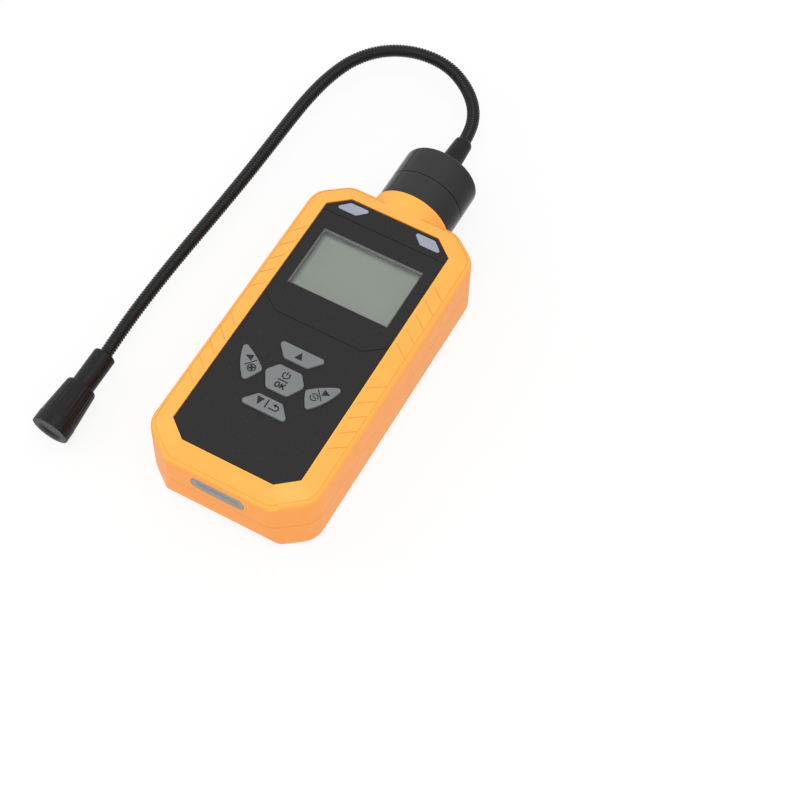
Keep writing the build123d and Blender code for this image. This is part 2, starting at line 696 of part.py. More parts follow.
# Charging socket and the hinged rubber cover of its port
usb_low = BOARD_LOW_Z - USB_HEIGHT
usb_y = -HALF_LENGTH + WALL + 0.6
usb = box_between((-USB_WIDTH / 2, usb_y, usb_low), (USB_WIDTH / 2, usb_y + USB_DEPTH + 2, BOARD_LOW_Z))
usb -= box_between(
    (-USB_WIDTH / 2 + USB_WALL, usb_y - 1, usb_low + USB_WALL),
    (USB_WIDTH / 2 - USB_WALL, usb_y + USB_DEPTH, BOARD_LOW_Z - USB_WALL))
tongue_z = usb_low + USB_HEIGHT / 2
usb += box_between(
    (-USB_WIDTH / 4, usb_y + 0.8, tongue_z - USB_TONGUE / 2),
    (USB_WIDTH / 4, usb_y + USB_DEPTH + 1, tongue_z + USB_TONGUE / 2))
save("usb_socket", usb)
cover = end_slab(cover_face(), 0, COVER_THICK)
ridge_face = Pos(0, (COVER_TOP_Z + COVER_LOW_Z) / 2) * Rectangle(2 * (COVER_HALF - COVER_LOW_CUT), 1.0)
cover += end_slab(ridge_face, -COVER_RIDGE, 0.5)
save("port_cover", cover)

# Battery in its cradle and the leads up to the board
battery_top = FLOOR + BATTERY_THICK
battery = box_between(
    (-BATTERY_WIDTH / 2, BATTERY_Y - BATTERY_LENGTH / 2, FLOOR),
    (BATTERY_WIDTH / 2, BATTERY_Y + BATTERY_LENGTH / 2, battery_top))
battery = fillet(battery.edges().filter_by(Axis.Y), BATTERY_EDGE_R)
save("battery", battery)
lead_z = battery_top - LEAD_DROP
lead_solids = []
for side in (-1, 1):
    lead_x = LEAD_SOCKET_X + side * (LEAD_R + 0.3)
    lead_path = FilletPolyline(
        (lead_x, LEAD_SOCKET_Y, socket_low),
        (lead_x, LEAD_SOCKET_Y, lead_z),
        (lead_x, BATTERY_Y + BATTERY_LENGTH / 2, lead_z),
        radius=LEAD_BEND_R)
    start_plane = Plane(origin=lead_path @ 0, z_dir=lead_path % 0)
    lead_solids.append(sweep(start_plane * Circle(LEAD_R), path=lead_path))
save("battery_leads", Compound(children=lead_solids))

# Case screws from the back, and the insert that takes the belt clip's screw
for number, (x, y) in enumerate(SCREW_PLACES, start=1):
    screw = post(x, y, SCREW_HEAD_R, SCREW_WELL_DEPTH - SCREW_HEAD_THICK, SCREW_WELL_DEPTH)
    screw += post(x, y, SCREW_R, SCREW_WELL_DEPTH, SPLIT_Z + SCREW_BITE)
    socket = Pos(x, y) * RegularPolygon(HEX_SOCKET / 2, 6)
    screw -= slab(socket, 0, SCREW_WELL_DEPTH - SCREW_HEAD_THICK / 2)
    save(f"case_screw_{number}", screw)
insert = post(0, INSERT_Y, INSERT_R, 0, INSERT_LENGTH) - post(0, INSERT_Y, INSERT_HOLE_R, -1, INSERT_LENGTH + 1)
save("clip_insert", insert)

# Lower cap on the collar, its seal, and the small board that takes the probe's plug
base_low = COLLAR_END_Y + CAP_SEAM
board_seat = BASE_END_Y - CAP_BOARD_SETBACK
base = along_y(CAP_R, base_low, BASE_END_Y)
base += along_y(SPIGOT_R, base_low - SPIGOT_LENGTH, base_low + 1)
base -= along_y(BASE_BORE_R, base_low - SPIGOT_LENGTH - 1, BASE_END_Y + 1)
base -= along_y(CAP_BOARD_R + FIT, board_seat, BASE_END_Y + 1)
base -= along_y(CAP_SPIGOT_R + FIT, BASE_END_Y - CAP_SPIGOT_LENGTH - FIT, BASE_END_Y + 1)
seal_out = CAP_SEAL_R + CAP_SEAL_WIDTH / 2
seal_in = CAP_SEAL_R - CAP_SEAL_WIDTH / 2
base -= along_y(seal_out + SEAL_FIT, base_low - 1, base_low + 1) - along_y(seal_in - SEAL_FIT, base_low - 2, base_low + 2)
base += along_y(SPIGOT_R, base_low - 1, base_low + 0.5) - along_y(BASE_BORE_R, base_low - 2, base_low + 2)
save("sensor_base", base)
save("cap_seal", along_y(seal_out, COLLAR_END_Y, base_low + 0.95) - along_y(seal_in, COLLAR_END_Y - 1, base_low + 2))
save("cap_board", along_y(CAP_BOARD_R, board_seat, board_seat + CAP_BOARD_THICK))
socket_y = board_seat + CAP_BOARD_THICK
plug_y = socket_y + LINE_SOCKET[1]
line_socket = Pos(0, socket_y + LINE_SOCKET[1] / 2, AXIS_Z) * Box(*LINE_SOCKET)
line_plug = Pos(0, plug_y + LINE_PLUG[1] / 2, AXIS_Z) * Box(*LINE_PLUG)
save("line_socket", line_socket)
save("line_plug", line_plug)

# Upper cap with its spigot, and the sleeve that holds the gooseneck
cap_low = BASE_END_Y + CAP_SEAM
cap = along_y(CAP_R, cap_low, CAP_END_Y)
cap = fillet(cap.faces().sort_by(Axis.Y)[-1].edges(), CAP_EDGE_R)
cap += along_y(CAP_SPIGOT_R, cap_low - CAP_SPIGOT_LENGTH, cap_low + 1)
cap -= along_y(CAP_SPIGOT_R - CAP_SPIGOT_WALL, cap_low - CAP_SPIGOT_LENGTH - 1, CAP_END_Y - CAP_WALL)
cap -= along_y(SLEEVE_BASE_R + FIT, CAP_END_Y - CAP_WALL - 1, CAP_END_Y + 1)
dimple = Plane(origin=(-CAP_R, (cap_low + CAP_END_Y) / 2, AXIS_Z), z_dir=(1, 0, 0))
cap -= extrude(dimple * Circle(DIMPLE_R), amount=DIMPLE_DEPTH)
save("probe_cap", cap)
sleeve_low = CAP_END_Y - CAP_WALL
sleeve_profile = Plane.XY * Polygon(
    (0, sleeve_low),
    (SLEEVE_BASE_R, sleeve_low),
    (SLEEVE_BASE_R, CAP_END_Y),
    (SLEEVE_FOOT_R, CAP_END_Y),
    (SLEEVE_FOOT_R, CAP_END_Y + SLEEVE_FOOT),
    (SLEEVE_BASE_R, CAP_END_Y + SLEEVE_FOOT + 0.8),
    (SLEEVE_TIP_R + 1.2, SLEEVE_END_Y - 6),
    (SLEEVE_TIP_R + 0.8, SLEEVE_END_Y - 1.5),
    (SLEEVE_TIP_R, SLEEVE_END_Y),
    (0, SLEEVE_END_Y),
    align=None,
)
sleeve = Pos(0, 0, AXIS_Z) * revolve(sleeve_profile, Axis.Y)
sleeve -= along_y(NECK_R + NECK_FIT, sleeve_low - 1, SLEEVE_END_Y + 1)
save("neck_sleeve", sleeve)

# Gooseneck: knuckles lie halfway along every second run of the route
mouth_point = Vector(0, SLEEVE_END_Y, AXIS_Z)
root_point = mouth_point - Vector(0, NECK_ROOT, 0)
head_axis = Vector(*HEAD_AXIS).normalized()
route = [root_point] + [mouth_point + Vector(*p) for p in NECK_ROUTE]
head_top = route[-1]
route = route + [head_top + head_axis * NECK_BITE]
corner_radii = []
for index in range(1, len(route) - 1):
    before = route[index] - route[index - 1]
    after = route[index + 1] - route[index]
    turn = math.radians(before.get_angle(after))
    corner_radii.append(0.45 * min(before.length, after.length) / math.tan(turn / 2))
print("gooseneck radii", [round(r, 1) for r in corner_radii])
knuckle_runs = range(2, len(route) - 3, 2)
knuckles = [(route[i] + route[i + 1]) * 0.5 for i in knuckle_runs]
spans = []
first = 0
for run, point in zip(knuckle_runs, knuckles):
    spans.append((first, run, point))
    first = run + 1
spans.append((first, len(route) - 1, None))
start = None
for number, (low, high, end) in enumerate(spans, start=1):
    points = route[low:high + 1]
    radii = corner_radii[max(low, 1) - 1:min(high, len(route) - 2)]
    if start:
        points = [start] + points
    if end:
        points = points + [end]
    path = FilletPolyline(*points, radius=radii)
    piece = sweep(Plane(origin=path @ 0, z_dir=path % 0) * Circle(NECK_R), path=path)
    expected = math.pi * NECK_R ** 2 * path.length
    print(f"neck_{number} volume over section times length", round(piece.volume / expected, 4))
    if end:
        piece += Plane(origin=end, z_dir=path % 1) * Sphere(KNUCKLE_R)
    if start:
        piece -= Plane(origin=start, z_dir=path % 0) * Sphere(KNUCKLE_R + KNUCKLE_GAP)
    save(f"neck_{number}", piece)
    start = end
print("knuckles", [tuple(round(c, 2) for c in k) for k in knuckles])

# Probe: sleeve, fluted head, mouth ring, filter and gas element on one axis
head_plane = Plane(origin=head_top, x_dir=Vector(0, 0, 1).cross(head_axis), z_dir=head_axis)


def turned(points):
    """Solid of revolution from radius and distance down the probe."""
    profile = Plane.XZ * Polygon(*points, align=None)
    return head_plane * revolve(profile, Axis.Z)


def bored(radius, low, high):
    """Cylinder on the probe's axis."""
    return head_plane * slab(Circle(radius), low, high)


cone_end = PROBE_SLEEVE_LENGTH + FLUTED_LENGTH
face_end = cone_end + BAND_LENGTH
ring_low = face_end - MOUTH_RING_THICK
filter_low = ring_low - FILTER_THICK
element_low = filter_low - ELEMENT_LENGTH
probe_sleeve = turned([
    (0, 0),
    (PROBE_SLEEVE_R - PROBE_SLEEVE_EDGE, 0),
    (PROBE_SLEEVE_R, PROBE_SLEEVE_EDGE),
    (PROBE_SLEEVE_R, PROBE_SLEEVE_LENGTH + 2),
    (0, PROBE_SLEEVE_LENGTH + 2),
])
probe_sleeve -= bored(NECK_R + NECK_FIT, -1, NECK_BITE + 0.5)
save("probe_sleeve", probe_sleeve)
head = turned([
    (0, PROBE_SLEEVE_LENGTH),
    (HEAD_TOP_R - HEAD_EDGE_R, PROBE_SLEEVE_LENGTH),
    (HEAD_TOP_R, PROBE_SLEEVE_LENGTH + HEAD_EDGE_R),
    (HEAD_STEP_R, cone_end),
    (HEAD_STEP_R + 0.15, cone_end + 0.2),
    (HEAD_FACE_R, face_end - 0.3),
    (HEAD_FACE_R - 0.3, face_end),
    (0, face_end),
])
cone_slope = (HEAD_STEP_R - HEAD_TOP_R) / FLUTED_LENGTH
flute_r_low = HEAD_TOP_R + FLUTE_R - FLUTE_DEPTH
flute_dir = Vector(cone_slope, 0, 1).normalized()
flute_plane = Plane(origin=(flute_r_low, 0, PROBE_SLEEVE_LENGTH), x_dir=(0, 1, 0), z_dir=flute_dir)
flute = flute_plane * slab(Circle(FLUTE_R), -1.5, FLUTED_LENGTH - 0.8)
for index in range(FLUTE_COUNT):
    head -= head_plane * (Rot(0, 0, 360 / FLUTE_COUNT * index) * flute)
head -= bored(PROBE_SLEEVE_R + FIT / 2, PROBE_SLEEVE_LENGTH - 1, PROBE_SLEEVE_LENGTH + 2.05)
head -= bored(FILTER_R + FIT / 2, element_low - 1, face_end)
head -= bored(MOUTH_RING_R + FIT / 2, ring_low, face_end + 1)
save("probe_head", head)
mouth_floor = face_end - MOUTH_DEPTH
ring = bored(MOUTH_RING_R, ring_low, face_end)
ring -= turned([(0, mouth_floor), (MOUTH_HOLE_R, mouth_floor), (MOUTH_R, face_end), (0, face_end)])
ring -= bored(MOUTH_HOLE_R, ring_low - 1, face_end)
save("mouth_ring", ring)
save("probe_filter", bored(FILTER_R, filter_low, ring_low))
save("gas_element", bored(ELEMENT_R, element_low, filter_low))
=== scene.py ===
import logging
from dataclasses import dataclass, field
from enum import Enum

import bpy
import numpy as np
from mathutils import Matrix, Vector


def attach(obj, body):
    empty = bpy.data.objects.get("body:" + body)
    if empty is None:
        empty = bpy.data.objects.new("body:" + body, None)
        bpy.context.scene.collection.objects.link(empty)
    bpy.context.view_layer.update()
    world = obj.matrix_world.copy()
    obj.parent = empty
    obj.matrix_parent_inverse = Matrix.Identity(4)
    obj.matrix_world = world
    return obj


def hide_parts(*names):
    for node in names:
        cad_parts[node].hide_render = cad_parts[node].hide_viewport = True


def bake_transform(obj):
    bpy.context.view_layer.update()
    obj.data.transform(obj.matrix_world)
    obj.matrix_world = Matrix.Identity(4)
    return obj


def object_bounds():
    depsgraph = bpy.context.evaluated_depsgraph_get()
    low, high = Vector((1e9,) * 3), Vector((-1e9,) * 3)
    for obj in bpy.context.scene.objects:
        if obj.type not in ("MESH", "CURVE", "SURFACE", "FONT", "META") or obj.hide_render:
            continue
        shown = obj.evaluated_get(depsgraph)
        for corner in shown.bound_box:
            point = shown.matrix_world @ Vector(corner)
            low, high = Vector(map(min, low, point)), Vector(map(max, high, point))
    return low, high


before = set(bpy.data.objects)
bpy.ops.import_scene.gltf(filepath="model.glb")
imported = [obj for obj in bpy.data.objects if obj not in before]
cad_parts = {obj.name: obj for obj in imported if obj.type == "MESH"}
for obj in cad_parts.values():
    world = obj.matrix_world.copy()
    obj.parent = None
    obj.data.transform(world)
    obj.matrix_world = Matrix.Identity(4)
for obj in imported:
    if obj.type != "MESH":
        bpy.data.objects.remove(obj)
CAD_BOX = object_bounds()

LOG = logging.getLogger("gas_detector")
MM = 0.001
Array = np.ndarray
Colour = tuple[float, float, float]

# Heights and places that several sub-assemblies share, in millimetres.
AXIS_Z = 17.8
COLLAR_END_Y = 80.2
CAP_SEAM_Y = 92.7
CAP_END_Y = 107.6
SLEEVE_END_Y = 128.6
KEY_TOP_Z = 36.4
DISPLAY_HALF_WIDTH = 22.3
DISPLAY_HALF_LENGTH = 14.55
DISPLAY_Y = 32.8
PROBE_START = (-76.8, -36.5, 12.4)

# Most of a side that the round of one corner may take.
ROUND_SHARE = 0.48


# Surfaces


def put_mesh(name: str, points: Array, faces: Array, smooth: bool = True) -> bpy.types.Object:
    """Make an object from points in millimetres and equal-sided faces.

    Args:
        name: Name of the new piece.
        points: Array of n by 3 places.
        faces: Array of m by 3 or m by 4 indices, counter-clockwise seen from outside.
        smooth: Whether the faces shade as one curved surface.

    Returns:
        The new object, linked to the scene, at the origin.
    """
    mesh = bpy.data.meshes.new(name)
    mesh.from_pydata((np.asarray(points, np.float32) * MM).tolist(), [], faces.tolist())
    mesh.polygons.foreach_set("use_smooth", np.full(len(faces), smooth))
    mesh.update()
    mesh.validate()
    piece = bpy.data.objects.new(name, mesh)
    bpy.context.scene.collection.objects.link(piece)
    return piece


def closed_tube(rings: Array) -> tuple[Array, Array]:
    """Close a stack of rings with a pole at each end.

    The poles are the means of the first and the last ring, and each end is a fan of triangles.

    Args:
        rings: Array of rows by columns by 3.

    Returns:
        Points and triangles.
    """
    rows, columns, _ = rings.shape
    points = np.vstack([rings.reshape(-1, 3), rings[0].mean(axis=0), rings[-1].mean(axis=0)])
    here = np.arange(columns)
    ahead = (here + 1) % columns
    ring = np.arange(rows - 1)[:, None] * columns
    quad = [ring + here, ring + ahead, ring + columns + ahead, ring + columns + here]
    body = np.vstack([np.stack([quad[i] for i in half], axis=-1).reshape(-1, 3)
                      for half in ((0, 1, 2), (0, 2, 3))])
    last = (rows - 1) * columns
    start = np.stack([np.full(columns, rows * columns), ahead, here], axis=-1)
    end = np.stack([np.full(columns, rows * columns + 1), last + here, last + ahead], axis=-1)
    return points, np.vstack([body, start, end])


def rounded_profile(corners: list[tuple[float, float, float]], steps: int = 6) -> Array:
    """Open profile with rounded corners.

    Each corner holds a place and a radius. The round is the quadratic curve that leaves and meets
    the two sides at radius times the tangent of half the turn from the corner.

    Args:
        corners: Two coordinates and a rounding radius for each corner.
        steps: Number of points in each round.

    Returns:
        Array of n by 2 places.
    """
    spots = np.array([c[:2] for c in corners], float)
    out = [spots[:1]]
    share = np.linspace(0, 1, steps)[:, None]
    for index in range(1, len(spots) - 1):
        radius = corners[index][2]
        here = spots[index]
        if radius <= 0:
            out.append(here[None])
            continue
        back = spots[index - 1] - here
        ahead = spots[index + 1] - here
        back_run, ahead_run = np.linalg.norm(back), np.linalg.norm(ahead)
        cosine = np.clip(back @ ahead / (back_run * ahead_run), -1, 1)
        wanted = radius * np.tan((np.pi - np.arccos(cosine)) / 2)
        cut = min(wanted, ROUND_SHARE * back_run, ROUND_SHARE * ahead_run)
        start, end = here + back / back_run * cut, here + ahead / ahead_run * cut
        out.append((1 - share) ** 2 * start + 2 * share * (1 - share) * here + share ** 2 * end)
    out.append(spots[-1:])
    return np.vstack(out)


def refine(profile: Array, step: float) -> Array:
    """Add points to a profile so that none of its runs is longer than a step.

    Args:
        profile: Array of n by 2 places.
        step: Longest run.

    Returns:
        Array of places along the same line.
    """
    runs = np.linalg.norm(np.diff(profile, axis=0), axis=1)
    pieces = [np.linspace(a, b, max(int(np.ceil(r / step)), 1), endpoint=False)
              for a, b, r in zip(profile[:-1], profile[1:], runs)]
    return np.vstack([*pieces, profile[-1:]])


def unit(vectors: Array) -> Array:
    """Return vectors at length one."""
    return vectors / np.linalg.norm(vectors, axis=-1, keepdims=True)


def round_about(along: Array, angle: Array) -> Array:
    """Return cos angle side + sin angle up for each unit vector along, where side is level."""
    side = unit(np.cross([0.0, 0.0, 1.0], along))
    up = np.cross(along, side)
    return np.cos(angle)[:, None] * side[..., None, :] + np.sin(angle)[:, None] * up[..., None, :]


@dataclass(frozen=True)
class Axis:
    """A line in space that a turned piece is built round.

    Attributes:
        origin: Where distance along the axis is zero, in millimetres.
        direction: Unit vector along the axis.
    """

    origin: tuple[float, float, float]
    direction: tuple[float, float, float]

    def sweep(self, radius: Array, distance: Array, angle: Array) -> Array:
        """Place = origin + distance times along + radius times (cos angle side + sin angle up)."""
        along = unit(np.array(self.direction))
        turn = round_about(along, angle)
        return np.array(self.origin) + distance[..., None] * along + radius[..., None] * turn


def turned(name: str, axis: Axis, profile: Array, columns: int = 96) -> bpy.types.Object:
    """Solid of revolution from a profile of radius against distance.

    The surface is P(v, u) = origin + d(v) along + r(v) (cos u side + sin u up).

    Args:
        name: Name of the new piece.
        axis: Line that the profile turns round.
        profile: Array of radius and distance, from the low end to the high end.
        columns: Number of points round the axis.

    Returns:
        The new piece, closed at both ends.
    """
    angle = np.linspace(0, 2 * np.pi, columns, endpoint=False)
    return put_mesh(name, *closed_tube(axis.sweep(profile[:, :1], profile[:, 1:], angle)))


# Finishes

# Cells a metre of the slow drift in colour, of the drift in gloss and of the dust.
CLOUD_CELLS = 42.0
GLOSS_CELLS = 310.0
DUST_CELLS = 1900.0

# Noise between which a speck of dust fades in, and its colour.
DUST_EDGE = (0.735, 0.77)
DUST_COLOUR = (0.62, 0.61, 0.59)

# Upward share of the normal on a moulding's walls and on its level faces, between which the painted side
# shade fades out.
WALL_TO_TOP = (0.1, 0.97)

# Openness at the bottom of grooves and out of them, between which the painted shade in grooves fades out.
GROOVE_TO_OPEN = (0.35, 0.85)

# Half the width of the fine line where two halves meet, and how far light spreads in a
# translucent plastic, both in metres.
SEAM_REACH = 0.00012
GLOW_REACH = 0.002

WHITE = (1.0, 1.0, 1.0, 1.0)


def feed(socket: bpy.types.NodeSocket, value: object) -> None:
    """Set a socket to a constant, or link another socket to it."""
    if isinstance(value, bpy.types.NodeSocket):
        socket.id_data.links.new(value, socket)
    else:
        socket.default_value = value


def new_node(tree: bpy.types.NodeTree, kind: str, inputs: dict[str | int, object] | None = None,
             **settings: object) -> bpy.types.Node:
    """Add a node, set its properties and feed its inputs."""
    made = tree.nodes.new(kind)
    for key, value in settings.items():
        setattr(made, key, value)
    for key, value in (inputs or {}).items():
        feed(made.inputs[key], value)
    return made


def calculate(tree: bpy.types.NodeTree, operation: str,
              *values: float | bpy.types.NodeSocket) -> bpy.types.NodeSocket:
    """Return the result of a maths node on numbers or sockets."""
    return new_node(tree, "ShaderNodeMath", dict(enumerate(values)), operation=operation).outputs[0]


class Sheet:
    """Node tree of one material, with short calls for the nodes that the finishes share."""

    def __init__(self, name: str) -> None:
        """Start an empty material with one shader."""
        self.material = bpy.data.materials.new(name)
        self.material.use_nodes = True
        self.tree = self.material.node_tree
        self.shader = self.tree.nodes["Principled BSDF"]
        self.place = self.tree.nodes.new("ShaderNodeTexCoord").outputs["Object"]

    def node(self, kind: str, inputs: dict[str | int, object] | None = None,
             **settings: object) -> bpy.types.Node:
        """Add a node to this sheet, set its properties and feed its inputs."""
        return new_node(self.tree, kind, inputs, **settings)

    def give(self, name: str, value: object) -> None:
        """Feed one input of the shader."""
        feed(self.shader.inputs[name], value)

    def part(self, vector: bpy.types.NodeSocket, axis: str) -> bpy.types.NodeSocket:
        """Return one coordinate of a vector."""
        return self.node("ShaderNodeSeparateXYZ", {"Vector": vector}).outputs[axis]

    def noise(self, scale: float, detail: float = 2.0, rough: float = 0.5) -> bpy.types.NodeSocket:
        """Return a noise value over the piece, scale in cells a metre."""
        return self.node("ShaderNodeTexNoise", {
            "Scale": scale, "Detail": detail, "Roughness": rough, "Vector": self.place}).outputs["Fac"]

    def spread(self, value: bpy.types.NodeSocket, low: float, high: float,
               start: float = 0.3, end: float = 0.7) -> bpy.types.NodeSocket:
        """Return value mapped from start and end to low and high, held at both."""
        return self.node("ShaderNodeMapRange", {
            "From Min": start, "From Max": end, "To Min": low, "To Max": high, "Value": value,
        }, clamp=True).outputs["Result"]

    def blend_colour(self, share: bpy.types.NodeSocket, first: Colour | bpy.types.NodeSocket,
                     second: Colour | bpy.types.NodeSocket) -> bpy.types.NodeSocket:
        """Return a colour between two by share, each written out or taken from a socket."""
        made = self.node("ShaderNodeMix", {"Factor": share}, data_type="RGBA")
        sockets = [s for s in made.inputs if s.type == "RGBA"]
        for socket, colour in zip(sockets, (first, second)):
            feed(socket, (*colour, 1) if isinstance(colour, tuple) else colour)
        return next(s for s in made.outputs if s.type == "RGBA")

    def about(self, value: bpy.types.NodeSocket, middle: float, drift: float) -> bpy.types.NodeSocket:
        """Return value mapped to a range about a middle."""
        return self.spread(value, middle - drift, middle + drift)

    def mottled(self, value: bpy.types.NodeSocket, colour: Colour, mottle: float) -> bpy.types.NodeSocket:
        """Return a colour that value makes a little darker and lighter."""
        return self.blend_colour(
            self.spread(value, 0.0, 1.0), shade(colour, 1 - mottle), shade(colour, 1 + mottle))

    def facing_up(self, start: float = 0.5, end: float = 0.9) -> bpy.types.NodeSocket:
        """Return nought up to one upward share of the normal, and one from another on."""
        normal = self.node("ShaderNodeNewGeometry").outputs["Normal"]
        return self.spread(self.part(normal, "Z"), 0.0, 1.0, start, end)

    def openness(self, reach: float) -> bpy.types.NodeSocket:
        """Return one on open surfaces and nought down in grooves narrower than reach in metres."""
        made = self.node("ShaderNodeAmbientOcclusion", {"Distance": reach}, samples=8)
        return self.spread(made.outputs["AO"], 0.0, 1.0, *GROOVE_TO_OPEN)

    def off_level(self, level: float, reach: float) -> bpy.types.NodeSocket:
        """Return nought within reach of a height and one away from it, both in metres."""
        near = calculate(self.tree, "COMPARE", self.part(self.place, "Z"), level, reach)
        return self.spread(near, 1.0, 0.0, 0.0, 1.0)

    def bump(self, height: bpy.types.NodeSocket, depth: float, strength: float) -> None:
        """Bend the shader's normal by height times depth in metres."""
        made = self.node("ShaderNodeBump", {"Distance": depth, "Strength": strength, "Height": height})
        self.give("Normal", made.outputs["Normal"])


def shade(colour: Colour, factor: float) -> Colour:
    """Return a colour made lighter or darker by a factor."""
    return tuple(min(max(c * factor, 0.0), 1.0) for c in colour)


@dataclass(frozen=True)
class Coating:
    """What every finish has.

    Attributes:
        name: Name of the material.
        colour: Linear base colour, or the tint of what passes through.
        roughness: Mean roughness.
    """

    name: str
    colour: Colour
    roughness: float = 0.5

    def paint(self, sheet: Sheet) -> None:
        """Set the shader and its nodes."""
        raise NotImplementedError

    def build(self) -> bpy.types.Material:
        """Return the node material."""
        sheet = Sheet(self.name)
        self.paint(sheet)
        return sheet.material


@dataclass(frozen=True)
class Plastic(Coating):
    """Moulded plastic or rubber with a fine grain, faint mottling and uneven gloss.

    Attributes:
        grain: Cells of the moulded grain a metre.
        grain_depth: Height of the grain in metres.
        mottle: Share by which the colour drifts over the piece.
        gloss_drift: Amount by which the roughness drifts.
        specular: Specular level of the shader.
        coat: Weight of a clear coat.
        dust: Share of pale dust specks on the surface.
        glow: Subsurface weight, for soft translucent plastics.
        side: Painted shade: darker colour of what stands upright, as if less light fell there, where it
            differs.
        shade_and_seam: Colour of the painted shade down in grooves and creases, and of the fine line where
            two halves meet, where it differs.
        shade_reach: Width in metres up to which a hollow gets the painted shade.
        seam_z: Height in metres of the fine line where two halves meet.
    """

    grain: float = 2600.0
    grain_depth: float = 0.00002
    mottle: float = 0.05
    gloss_drift: float = 0.06
    specular: float = 0.5
    coat: float = 0.0
    dust: float = 0.0
    glow: float = 0.0
    side: Colour | None = None
    shade_and_seam: Colour | None = None
    shade_reach: float = 0.0005
    seam_z: float | None = None

    def paint(self, sheet: Sheet) -> None:
        """Set the shader and its nodes."""
        colour = sheet.mottled(sheet.noise(CLOUD_CELLS, 4.0, 0.6), self.colour, self.mottle)
        # Painted shade: upright faces take the darker side colour.
        if self.side is not None:
            colour = sheet.blend_colour(sheet.facing_up(*WALL_TO_TOP), self.side, colour)
        # Painted shade: hollows narrower than the reach take the darker colour.
        if self.shade_and_seam is not None:
            colour = sheet.blend_colour(sheet.openness(self.shade_reach), self.shade_and_seam, colour)
        if self.seam_z is not None:
            colour = sheet.blend_colour(sheet.off_level(self.seam_z, SEAM_REACH), self.shade_and_seam, colour)
        if self.dust > 0:
            specks = sheet.spread(sheet.noise(DUST_CELLS, 1.0, 0.4), 0.0, self.dust, *DUST_EDGE)
            colour = sheet.blend_colour(specks, colour, DUST_COLOUR)
        sheet.give("Base Color", colour)
        gloss = sheet.noise(GLOSS_CELLS, 3.0)
        sheet.give("Roughness", sheet.about(gloss, self.roughness, self.gloss_drift))
        sheet.bump(sheet.noise(self.grain, 3.0, 0.6), self.grain_depth, 0.8)
        sheet.give("Specular IOR Level", self.specular)
        sheet.give("Coat Weight", self.coat)
        if self.glow > 0:
            sheet.give("Subsurface Weight", self.glow)
            sheet.give("Subsurface Scale", GLOW_REACH)


@dataclass(frozen=True, kw_only=True)
class PaintedWallLight(Coating):
    """Moulded frame whose lip is dark and whose upright walls are painted lighter, a painted highlight
    where they catch the light.

    Attributes:
        painted_wall_light: Colour of the painted highlight on what stands upright.
    """

    painted_wall_light: Colour

    def paint(self, sheet: Sheet) -> None:
        """Set the shader and its nodes."""
        # Painted highlight: upright faces take the lighter colour.
        sheet.give("Base Color", sheet.blend_colour(sheet.facing_up(), self.painted_wall_light, self.colour))
        sheet.give("Roughness", sheet.about(sheet.noise(500.0), self.roughness, 0.05))
        sheet.bump(sheet.noise(2600.0), 0.00001, 0.5)


@dataclass(frozen=True, kw_only=True)
class Cell(Coating):
    """Display cell with a painted shadow that darkens it softly along its upper and left edges, under the
    frame.

    Attributes:
        edge_shadow: Colour of the painted shadow right at the two edges.
        corner: Place of the upper left corner in millimetres.
        reach: How far the painted shadow reaches in, in millimetres.
        mottle: Share by which the colour drifts over the field.
    """

    edge_shadow: Colour
    corner: tuple[float, float]
    reach: float = 2.2
    mottle: float = 0.012

    def paint(self, sheet: Sheet) -> None:
        """Set the shader and its nodes."""
        left, top = (c * MM for c in self.corner)
        reach = self.reach * MM
        # Painted shadow: the cell darkens towards its upper and left edges.
        off_left = sheet.spread(sheet.part(sheet.place, "X"), 0.0, 1.0, left, left + reach)
        off_top = sheet.spread(sheet.part(sheet.place, "Y"), 1.0, 0.0, top - reach, top)
        share = calculate(sheet.tree, "MULTIPLY", off_left, off_top)
        middle = sheet.mottled(sheet.noise(CLOUD_CELLS, 3.0), self.colour, self.mottle)
        sheet.give("Base Color", sheet.blend_colour(share, self.edge_shadow, middle))
        sheet.give("Roughness", sheet.about(sheet.noise(GLOSS_CELLS), self.roughness, 0.02))
        sheet.give("Specular IOR Level", 0.4)


@dataclass(frozen=True)
class Metal(Coating):
    """Bare or plated metal with brushed streaks along one direction.

    Attributes:
        streaks: Cells of the brushing a metre.
        stretch: Share by which the brushing is drawn out along Y.
    """

    streaks: float = 900.0
    stretch: float = 0.08

    def paint(self, sheet: Sheet) -> None:
        """Set the shader and its nodes."""
        drawn = sheet.node("ShaderNodeMapping", {"Scale": (1, self.stretch, 1), "Vector": sheet.place})
        sheet.place = drawn.outputs["Vector"]
        grain = sheet.noise(self.streaks)
        dark = shade(self.colour, 0.88)
        sheet.give("Base Color", sheet.blend_colour(sheet.spread(grain, 0.0, 1.0), dark, self.colour))
        sheet.give("Roughness", sheet.spread(grain, self.roughness * 0.8, self.roughness * 1.3))
        sheet.bump(grain, 0.00001, 0.5)
        sheet.give("Metallic", 1.0)


@dataclass(frozen=True)
class Pane(Coating):
    """Clear moulded window.

    Attributes:
        bending: Index of refraction, low so that little light is lost under it.
    """

    bending: float = 1.2

    def paint(self, sheet: Sheet) -> None:
        """Set the shader and its nodes."""
        haze = sheet.spread(sheet.noise(120.0), self.roughness * 0.7, self.roughness * 1.3)
        sheet.give("Roughness", haze)
        sheet.give("Base Color", (*self.colour, 1))
        sheet.give("Transmission Weight", 1.0)
        sheet.give("IOR", self.bending)


